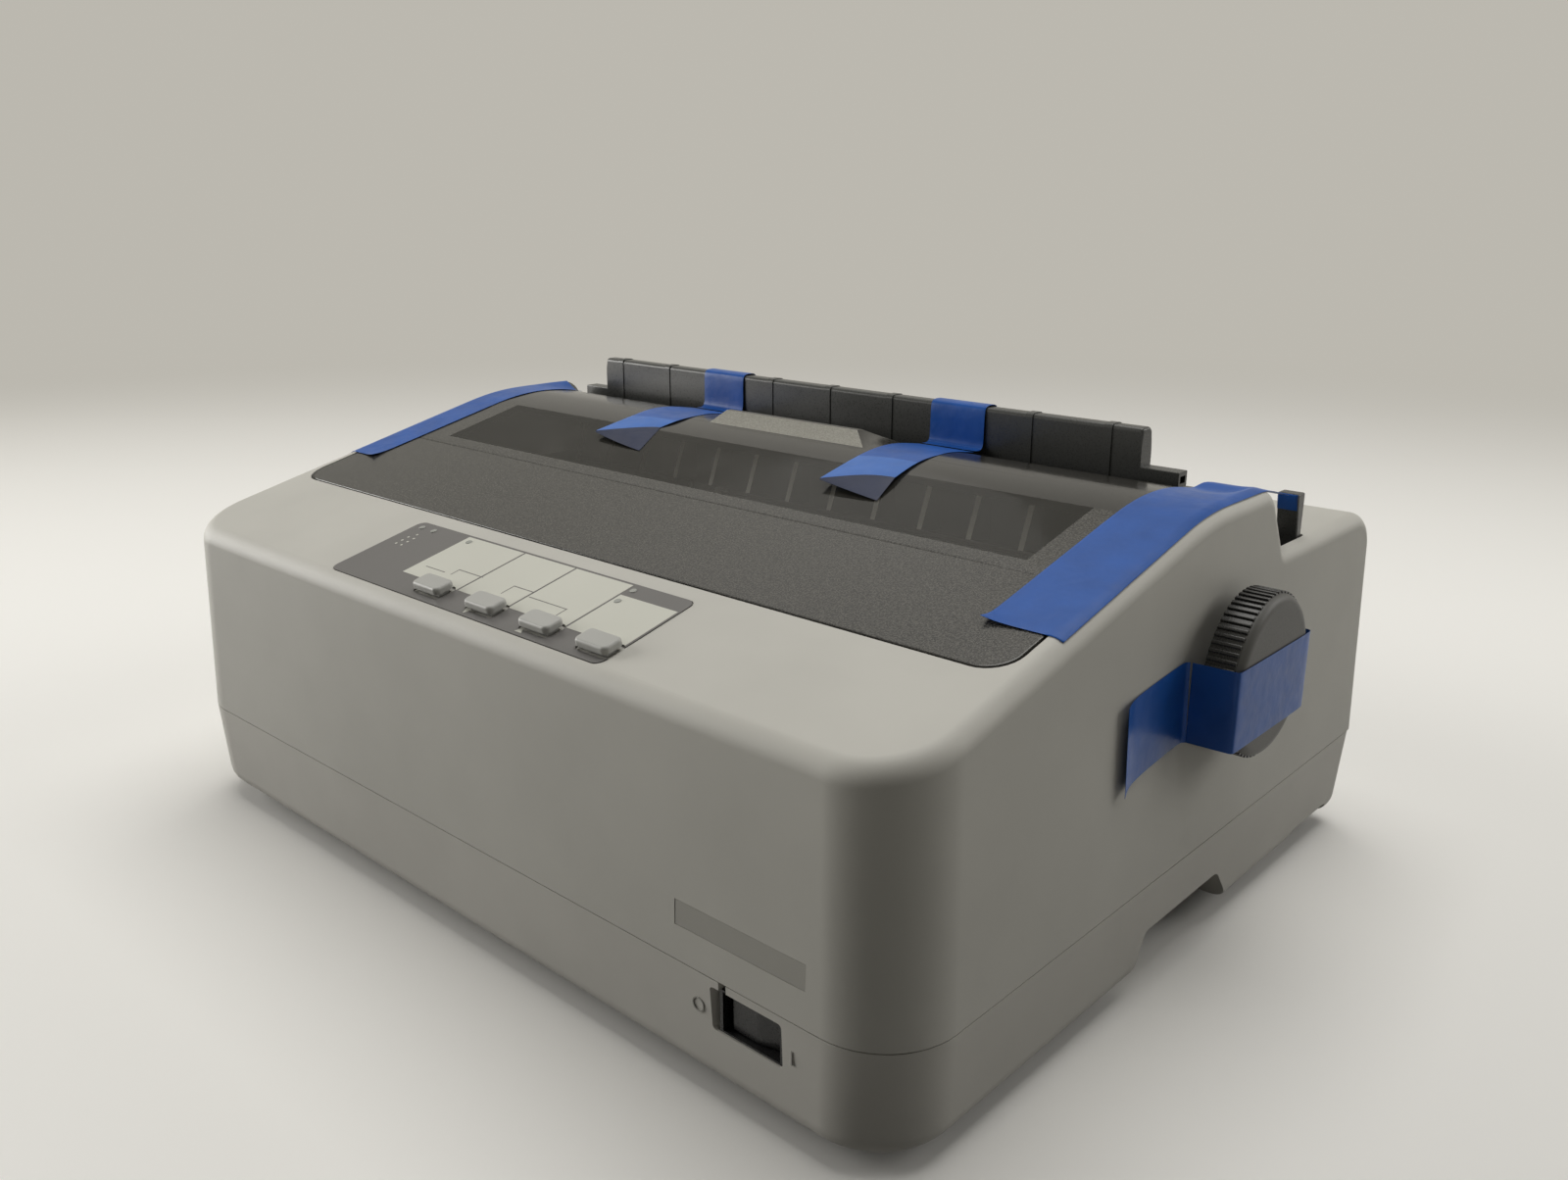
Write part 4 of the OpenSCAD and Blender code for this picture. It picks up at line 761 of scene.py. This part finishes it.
for side in (-1, 1):
    x = side * 154.5
    lid = joined(lid, block(x - 2.5, x + 2.5, -85.7, -80.5, 113.3, 119.6, 0.5),
                 rod("x", side * 161.5 - 5, side * 161.5 + 5, HINGE_Y, HINGE_Z, 2, 24))
for face in lid.faces:
    at = face.calc_center_median()
    if abs(at.x) < WINDOW_HALF and WINDOW_FRONT < at.y < WINDOW_REAR:
        face.material_index = 1 if face.normal.z > 0.5 else 2
    elif at.y > WINDOW_REAR:
        face.material_index = 4
    # The tab's forward-facing faces take the pale finish, painted light for the light from above
    # that shows through the frosted tab.
    on_tab = abs(at.x) < 39 and 13 < at.y < 24 and at.z > lid_height(at.y) + 0.2
    if on_tab and face.normal.y < -0.2:
        face.material_index = 3
lid = settle("cover_lid", lid, frosted, window_face, window_back, tab_frost_painted_light, crest_smoke)
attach(lid, "cover")
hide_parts("printer_cover")

# ---- Control panel ----
# A printed satin film in a shallow bed of the deck: grey, with four pale fields parted by
# fine lines over the buttons, lamp spots, and plain arrow marks in front.
film_grey = finish_of("film_grey", (0.135, 0.130, 0.125), 0.38, grain=0.3, depth=0.008)
film_pale = finish_of("film_pale", (0.60, 0.60, 0.53), 0.4, grain=0.3, depth=0.008, vary=0.02)
film_line = finish_of("film_line", (0.16, 0.155, 0.15), 0.4, grain=0.3, depth=0.005)
lamp_lens = finish_of("lamp_lens", (0.33, 0.34, 0.31), 0.2, grain=0.5, depth=0.004)
FILM_TOP = 0.2


def outlined(x0, x1, u0, u1, low, high, size, steps=5):
    """A flat plate with rounded corners, drawn flat for the deck."""
    plate = block(x0, x1, u0, u1, low, high)
    soften(plate, uprights(plate), size, steps)
    return plate


def button_gap(x):
    """The opening in the film round one button."""
    return outlined(x - 7.15, x + 7.15, 2.6, 10.6, -3, 3, 2)


film = outlined(-69.9, 67.1, 0, 37.35, -0.45, FILM_TOP, 3)
for x in BUTTON_PLACES:
    film = cut(film, button_gap(x))
film = settle("panel_film", on_deck(film, PANEL_FRONT), film_grey)
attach(film, "case")
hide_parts("control_panel_sheet")

fields = []
for x0, x1, u0, u1 in ((-40.8, -11.0, 9.6, 36.4), (-10.2, 14.6, 9.6, 36.4),
                       (15.4, 41.4, 9.6, 36.4), (42.2, 66.4, 9.6, 30.6)):
    field = block(x0, x1, u0, u1, FILM_TOP - 0.1, FILM_TOP + 0.05)
    for x in BUTTON_PLACES:
        field = cut(field, button_gap(x))
    fields.append(on_deck(field, PANEL_FRONT))
fields = settle("panel_fields", joined(*fields), film_pale)
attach(fields, "case")

LINE_HALF = 0.17
lines = []
for x0, u0, x1, u1 in ((-36, 15.6, -26, 15.6), (-22.3, 18.9, -9.9, 18.9),
                       (5.4, 19.6, 14.4, 19.6), (16.2, 17, 33.6, 17), (-22.3, 15.6, -22.3, 18.9),
                       (5.4, 14.6, 5.4, 19.6), (33.6, 12.4, 33.6, 17)):
    lines.append(block(x0 - LINE_HALF, x1 + LINE_HALF, u0 - LINE_HALF, u1 + LINE_HALF,
                       FILM_TOP, FILM_TOP + 0.09))
lines = settle("panel_lines", on_deck(joined(*lines), PANEL_FRONT), film_line)
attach(lines, "case")

marks = []
for x, u, turn in ((4.2, 2.4, 180), (30.5, 2.4, 0)):
    arrow = bar([(-1.5, -1.1), (1.5, -1.1), (0, 1.5)], "z", FILM_TOP - 0.05, FILM_TOP + 0.06)
    bmesh.ops.transform(arrow, matrix=Matrix.Translation((x, u, 0))
                        @ Matrix.Rotation(math.radians(turn), 4, "Z"), verts=arrow.verts)
    marks.append(arrow)
for x, u in ((-61.8, 29.4), (-63.4, 26.9), (-60.2, 26.9), (-63.4, 24.4), (-60.2, 24.4),
             (-63.4, 21.9), (-60.2, 21.9)):
    marks.append(rod("z", FILM_TOP - 0.05, FILM_TOP + 0.06, x, u, 0.45, 12))
marks = settle("panel_marks", on_deck(joined(*marks), PANEL_FRONT), film_pale)
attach(marks, "case")

lenses = [rod("z", FILM_TOP - 0.3, FILM_TOP + 0.25, x, u, 1.15, 24, 0.15)
          for x, u in ((-65.4, 33.9), (-58.4, 33.9), (-37.4, 33.6), (44.0, 33.9), (44.4, 27.4))]
lenses = settle("panel_lamps", on_deck(joined(*lenses), PANEL_FRONT), lamp_lens)
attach(lenses, "case")

# ---- Buttons ----
# Four pillow-shaped caps in light grey plastic. Each rides on a stem that goes through the
# film and the deck to a switch on the board below.
button_grey = finish_of("button_grey", (0.42, 0.42, 0.395), 0.42, grain=0.4, depth=0.01)
for number, x in enumerate(BUTTON_PLACES, 1):
    cap = outlined(-6.75, 6.75, -3.6, 3.6, 1.1, 3.3, 1.9, 6)
    soften(cap, [e for e in cap.edges if e.calc_face_angle(0.0) > 1.2
                 and min(v.co.z for v in e.verts) > 3], 0.95, 4)
    cap = joined(cap, block(-5.15, 5.15, -2, 2, -6.4, 1.2))
    bmesh.ops.translate(cap, vec=(x, 0, 0), verts=cap.verts)
    cap = settle(f"button_cap_{number}", on_deck(cap, BUTTON_LINE), button_grey)
    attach(cap, f"button_{number}")
    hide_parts(f"button_{number}")

# ---- Power switch ----
# A black rocker in its moulded well, seen through the window low at the front right, with
# a ring mark and a line mark moulded beside it.
ROCKER_AT = (127.3, -127.0, 29.0)
ROCKER_TILT = math.radians(7)
rocker_black = finish_of("rocker_black", (0.016, 0.016, 0.017), 0.3, grain=0.5, depth=0.008)
rocker = bar([(-9, -6.5), (-0.6, -7.6), (0.6, -7.6), (9, -6.5), (8, -3), (3, 3), (-3, 3),
              (-8, -3)], "z", -5.4, 5.4)
soften(rocker, [e for e in rocker.edges if e.calc_face_angle(0.0) > 0.5], 0.4, 2)
rocker = joined(rocker, rod("z", -5.85, 5.85, 0, 0, 1.5, 24))
bmesh.ops.transform(rocker, matrix=Matrix.Translation(ROCKER_AT)
                    @ Matrix.Rotation(ROCKER_TILT, 4, "Z"), verts=rocker.verts)
rocker = settle("rocker_key", rocker, rocker_black)
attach(rocker, "rocker")
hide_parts("power_rocker")
dress(rocker_black, "power_switch_body")

switch_marks = finish_of("switch_marks", (0.30, 0.295, 0.27), 0.5, grain=0.4, depth=0.01)
ring = cut(rod("y", -137.35, -136.9, 109.3, 27.9, 2.1), rod("y", -138, -136, 109.3, 27.9, 1.75))
line = block(141.6, 142.0, -137.35, -136.9, 25.6, 29.6)
raised = settle("switch_signs", joined(ring, line), switch_marks)
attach(raised, "case")

# ---- Front plate ----
# A bare satin plate with a fine border, stamped from thin sheet and bonded into a shallow
# pocket low on the front of the upper case.
plate_grey = finish_of("plate_grey", (0.37, 0.36, 0.325), 0.4, grain=0.4, depth=0.008)
plate_edge = finish_of("plate_edge", (0.16, 0.155, 0.14), 0.5, grain=0.4, depth=0.005)
face = bar([(-137.08, 48.15), (-136.86, 55.15), (-136.4, 55.15), (-136.4, 48.15)], "x",
           101.15, 145.85)
edge = bar([(-137.0, 48.02), (-136.78, 55.28), (-136.4, 55.28), (-136.4, 48.02)], "x",
           101.02, 145.98)
backing = settle("front_plate", face, plate_grey)
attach(backing, "case")
border = settle("front_plate_border", edge, plate_edge)
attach(border, "case")

# ---- Platen knob ----
# The knob that turns the platen by hand: a ribbed glossy rim and a flat satin face, pushed
# on to the flat of the steel shaft.
KNOB_RIBS = 64
knob_rim = finish_of("knob_rim", (0.022, 0.022, 0.021), 0.26, grain=0.4, depth=0.006)
knob_face = finish_of("knob_face", (0.058, 0.057, 0.052), 0.5, grain=0.45, depth=0.02)


def turned(profile, steps):
    """A turned shape about the platen's line: points in x and radius, spun round."""
    bm = bmesh.new()
    line = [bm.verts.new((x, KNOB_Y, KNOB_Z + radius)) for x, radius in profile]
    edges = [bm.edges.new(pair) for pair in zip(line, line[1:])]
    bmesh.ops.spin(bm, geom=line + edges, cent=(0, KNOB_Y, KNOB_Z), axis=(1, 0, 0),
                   angle=2 * math.pi, steps=steps, use_merge=True)
    bmesh.ops.remove_doubles(bm, verts=bm.verts, dist=0.001)
    bmesh.ops.recalc_face_normals(bm, faces=bm.faces)
    return bm


knob = turned([(176.5, 5.05), (176.5, 23.9), (176.9, 24.3), (185.2, 24.3), (186.0, 24.1),
               (186.7, 23.6), (187.25, 22.9), (187.5, 22), (187.55, 21), (187.55, 0), (186.2, 0),
               (186.2, 5.05), (176.5, 5.05)], 128)
for face in knob.faces:
    if face.calc_center_median().x > 185.3:
        face.material_index = 1
rib = block(176.7, 185.6, KNOB_Y - 0.62, KNOB_Y + 0.62, KNOB_Z + 24.0, KNOB_Z + 24.95)
soften(rib, [e for e in rib.edges if min(v.co.z for v in e.verts) > KNOB_Z + 24.5], 0.35, 3)
bmesh.ops.spin(rib, geom=rib.verts[:] + rib.edges[:] + rib.faces[:], cent=(0, KNOB_Y, KNOB_Z),
               axis=(1, 0, 0), angle=2 * math.pi, steps=KNOB_RIBS, use_duplicate=True)
bmesh.ops.remove_doubles(rib, verts=rib.verts, dist=0.001)
knob = joined(knob, rib, cut(rod("x", 173.5, 177, KNOB_Y, KNOB_Z, 7.4),
                             rod("x", 172, 178, KNOB_Y, KNOB_Z, 5.05)))
knob = settle("knob_wheel", knob, knob_rim, knob_face)
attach(knob, "platen")
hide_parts("platen_knob")

# ---- Transport tape ----
# Strips of glossy blue film, 24 mm wide, that hold the cover, the separator, the lever and the
# knob for the journey. They are stuck on last, stand off where they fold, and peel off.
FILM_GAP = 0.3
FILM_THICKNESS = 0.12
FILM_BEND = 5.2
# The paler blue is a painted highlight on the raised stretch of each flap, and the near-black
# blue is painted shade on the film's back where the flap's end turns down.
tape_blue = finish_of("tape_blue", (0.013, 0.088, 0.36), 0.34, grain=5.0, depth=0.25, patch=12.0,
                      vary=0.10)
tape_painted_highlight = finish_of("tape_painted_highlight", (0.045, 0.155, 0.50), 0.36, grain=5.0, depth=0.2, patch=12.0,
                      vary=0.08)
tape_back_painted_shade = finish_of("tape_back_painted_shade", (0.004, 0.012, 0.048), 0.40, grain=5.0, depth=0.2, patch=12.0,
                      vary=0.10)
for finish in (tape_blue, tape_painted_highlight, tape_back_painted_shade):
    finish.node_tree.nodes["Principled BSDF"].inputs["Specular IOR Level"].default_value = 0.25


def side_of_case(z):
    """Half the width of the upper case at a height."""
    return HALF_W - (z - PARTING) * DRAFT


def tape(name, body, rows, pale=None, fold=None):
    """A strip of film laid through rows of points, which rides on a body."""
    film = bmesh.new()
    across, along = len(rows[0]) - 1, len(rows) - 1
    bmesh.ops.create_grid(film, x_segments=across, y_segments=along, size=1.0)
    creases = film.edges.layers.float.new("crease_edge")
    for face in film.faces:
        # From the pale row on, one row of faces takes the painted highlight and the row after it
        # the painted shade.
        row = int((face.calc_center_median().y + 1) / 2 * along)
        face.material_index = 0 if pale is None else max(0, row - pale + 1)
    for edge in film.edges:
        edge[creases] = float(all(round((v.co.y + 1) / 2 * along) == fold for v in edge.verts))
    for vert in film.verts:
        row = rows[round((vert.co.y + 1) / 2 * along)]
        vert.co = row[round((vert.co.x + 1) / 2 * across)]
    bmesh.ops.recalc_face_normals(film, faces=film.faces)
    strip = settle(name, film, tape_blue, tape_painted_highlight, tape_back_painted_shade, sharp=180.0)
    smooth = strip.modifiers.new("smooth", "SUBSURF")
    smooth.levels = smooth.render_levels = 2
    smooth.boundary_smooth = "PRESERVE_CORNERS"
    thick = strip.modifiers.new("thick", "SOLIDIFY")
    thick.thickness = FILM_THICKNESS * MM
    thick.offset = 0.0
    strip.modifiers.move(0, 2)
    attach(strip, body)


def hump_row(side, y, inner, turns, curl=0.0):
    """Points across one side: from the cover, over the gap and the case's rounded rim."""
    crest = min(deck_height(y), CREST) - max(0.0, BEND_REACH - abs(y - CREST_START)) ** 2 / 200
    crest -= max(0.0, RIM_ROUND - abs(y - CREST_END)) ** 2 / 14 + max(0.0, y - CREST_END) * 1.9
    crest += FILM_GAP
    flat = side_of_case(crest) - 4.9
    lid = lid_height(y) + FILM_GAP
    points = [(inner, y - curl, lid + curl), (inner + 4, y - curl * 0.4, lid + curl * 0.2)]
    points += [(159, y, lid), (162.5, y, (lid + crest) / 2), (165.4, y, crest), (flat, y, crest)]
    for turn in turns:
        turn = math.radians(turn)
        points.append((flat + FILM_BEND * math.sin(turn), y,
                       crest - FILM_BEND * (1 - math.cos(turn))))
    return [(side * x, y, z) for x, y, z in points]


hump_steps = [-69, -66, -60, -50, -40, -30, -20, -10, 0, 8, 16, 24, 32, 40, 46]
rows = [hump_row(1, y, 145.8, (18, 34), 1.4 if y == -69 else 0) for y in hump_steps]
for y, z, x0, x1 in ((50, 141.0, 147, 168.9), (54.5, 139.9, 150, 168.4), (61, 138.2, 154, 167.8),
                     (68.3, 136.2, 157, 167.2)):
    rows.append([(x0 + (x1 - x0) * step / 7, y, z) for step in range(8)])
tape("tape_right", "cover", rows)
tape("tape_left", "cover", [
    hump_row(-1, y, x, (20, 45, 62), 0.8 if y == -64 else 0) for y, x in (
        (-64, 151.5), (-60, 151.3), (-50, 151), (-30, 150.5), (-10, 150), (0, 150), (8, 150),
        (16, 150), (24, 150), (32, 150.4), (40, 153), (46.5, 154.8))])
tape("tape_lever", "release_lever", [[(x, y, z) for x in (160.3, 163.5, 166.8)] for y, z in (
    (77.0, 134.7), (76.7, 134.2), (76.9, 132.0), (77.4, 129.4))])


def across_cover(y, left, right, lift=0.0):
    """Three points across a strip that lies on the cover."""
    z = lid_height(y) + FILM_GAP + lift
    return [(left, y, z), ((left + right) / 2, y, z), (right, y, z)]


# On both flaps the stretch from the crest to the fold carries the painted highlight, and the end
# past the fold the painted shade.
tape("tape_flap_left", "cover", [
    across_cover(50, -84, -61, 0.5), across_cover(42, -82.5, -58), across_cover(30, -80, -54),
    across_cover(18, -77, -51), [(-74.2, 8.6, 142.0), (-62, 8, 142.9), (-49.5, 7.3, 142.4)],
    [(-70.5, -15.5, 139.0), (-57.5, -3.2, 140.5), (-50.7, 0.3, 140.6)],
    [(-70.2, -15.9, 138.6), (-55, -18.7, 136.9), (-40.5, -20, 135.8)]], pale=4, fold=5)
tape("tape_flap_right", "cover", [
    across_cover(50, 36, 60, 0.5), across_cover(42, 37.5, 61.5), across_cover(30, 40, 64),
    across_cover(20, 41.5, 66), [(42.8, 7.6, 142.0), (54.5, 8.1, 142.9), (66.2, 8.6, 142.4)],
    [(48.1, -20.1, 138.5), (61, -11.2, 140.5), (69.8, -8.4, 140.0)],
    [(48.3, -20.5, 138.1), (61.5, -21.8, 136.7), (73.5, -22.3, 135.4)]], pale=4, fold=5)
for side, left, right in (("left", -84.6, -61.6), ("right", 35.4, 59.2)):
    tape(f"tape_strip_{side}", "separator", [
        [(left, y, z), ((left + right) / 2, y, z), (right, y, z)] for y, z in (
            (65.3, 148), (65.3, 151.5), (64.6, 153.4), (63, 153.9), (61, 153.9), (59.3, 153.9),
            (57.9, 153.5), (57.1, 152.2), (57, 148), (57, 142), (56.7, 139.0), (55.2, 138.0),
            (52.3, 138.3))])

tape("tape_knob_case", "case", [
    [(side_of_case(z) + out, y, z) for z in (top, (top + low) / 2, low)]
    for y, top, low, out in (
        (-41.5, 98.8, 73.2, 2.2), (-38.5, 99.1, 74.4, 1.1), (-33, 99.6, 75.2, 0.3),
        (-20, 100.8, 76.6, 0.3), (-8, 101.8, 77.6, 0.3), (-6.3, 101.9, 77.7, 0.6),
        (-5.7, 101.9, 77.7, 1.5))])
tape("tape_knob_wheel", "platen", [[(x, y, z) for z in (101.9, 89.8, 77.7)] for x, y in (
    (174.2, -5.6), (176, -5.4), (182, -5.1), (187.0, -4.9), (187.7, -4.4), (187.82, -3),
    (187.82, 10), (187.82, 25), (187.82, 40), (187.7, 44.6), (186.9, 45.3), (182, 45.5))])
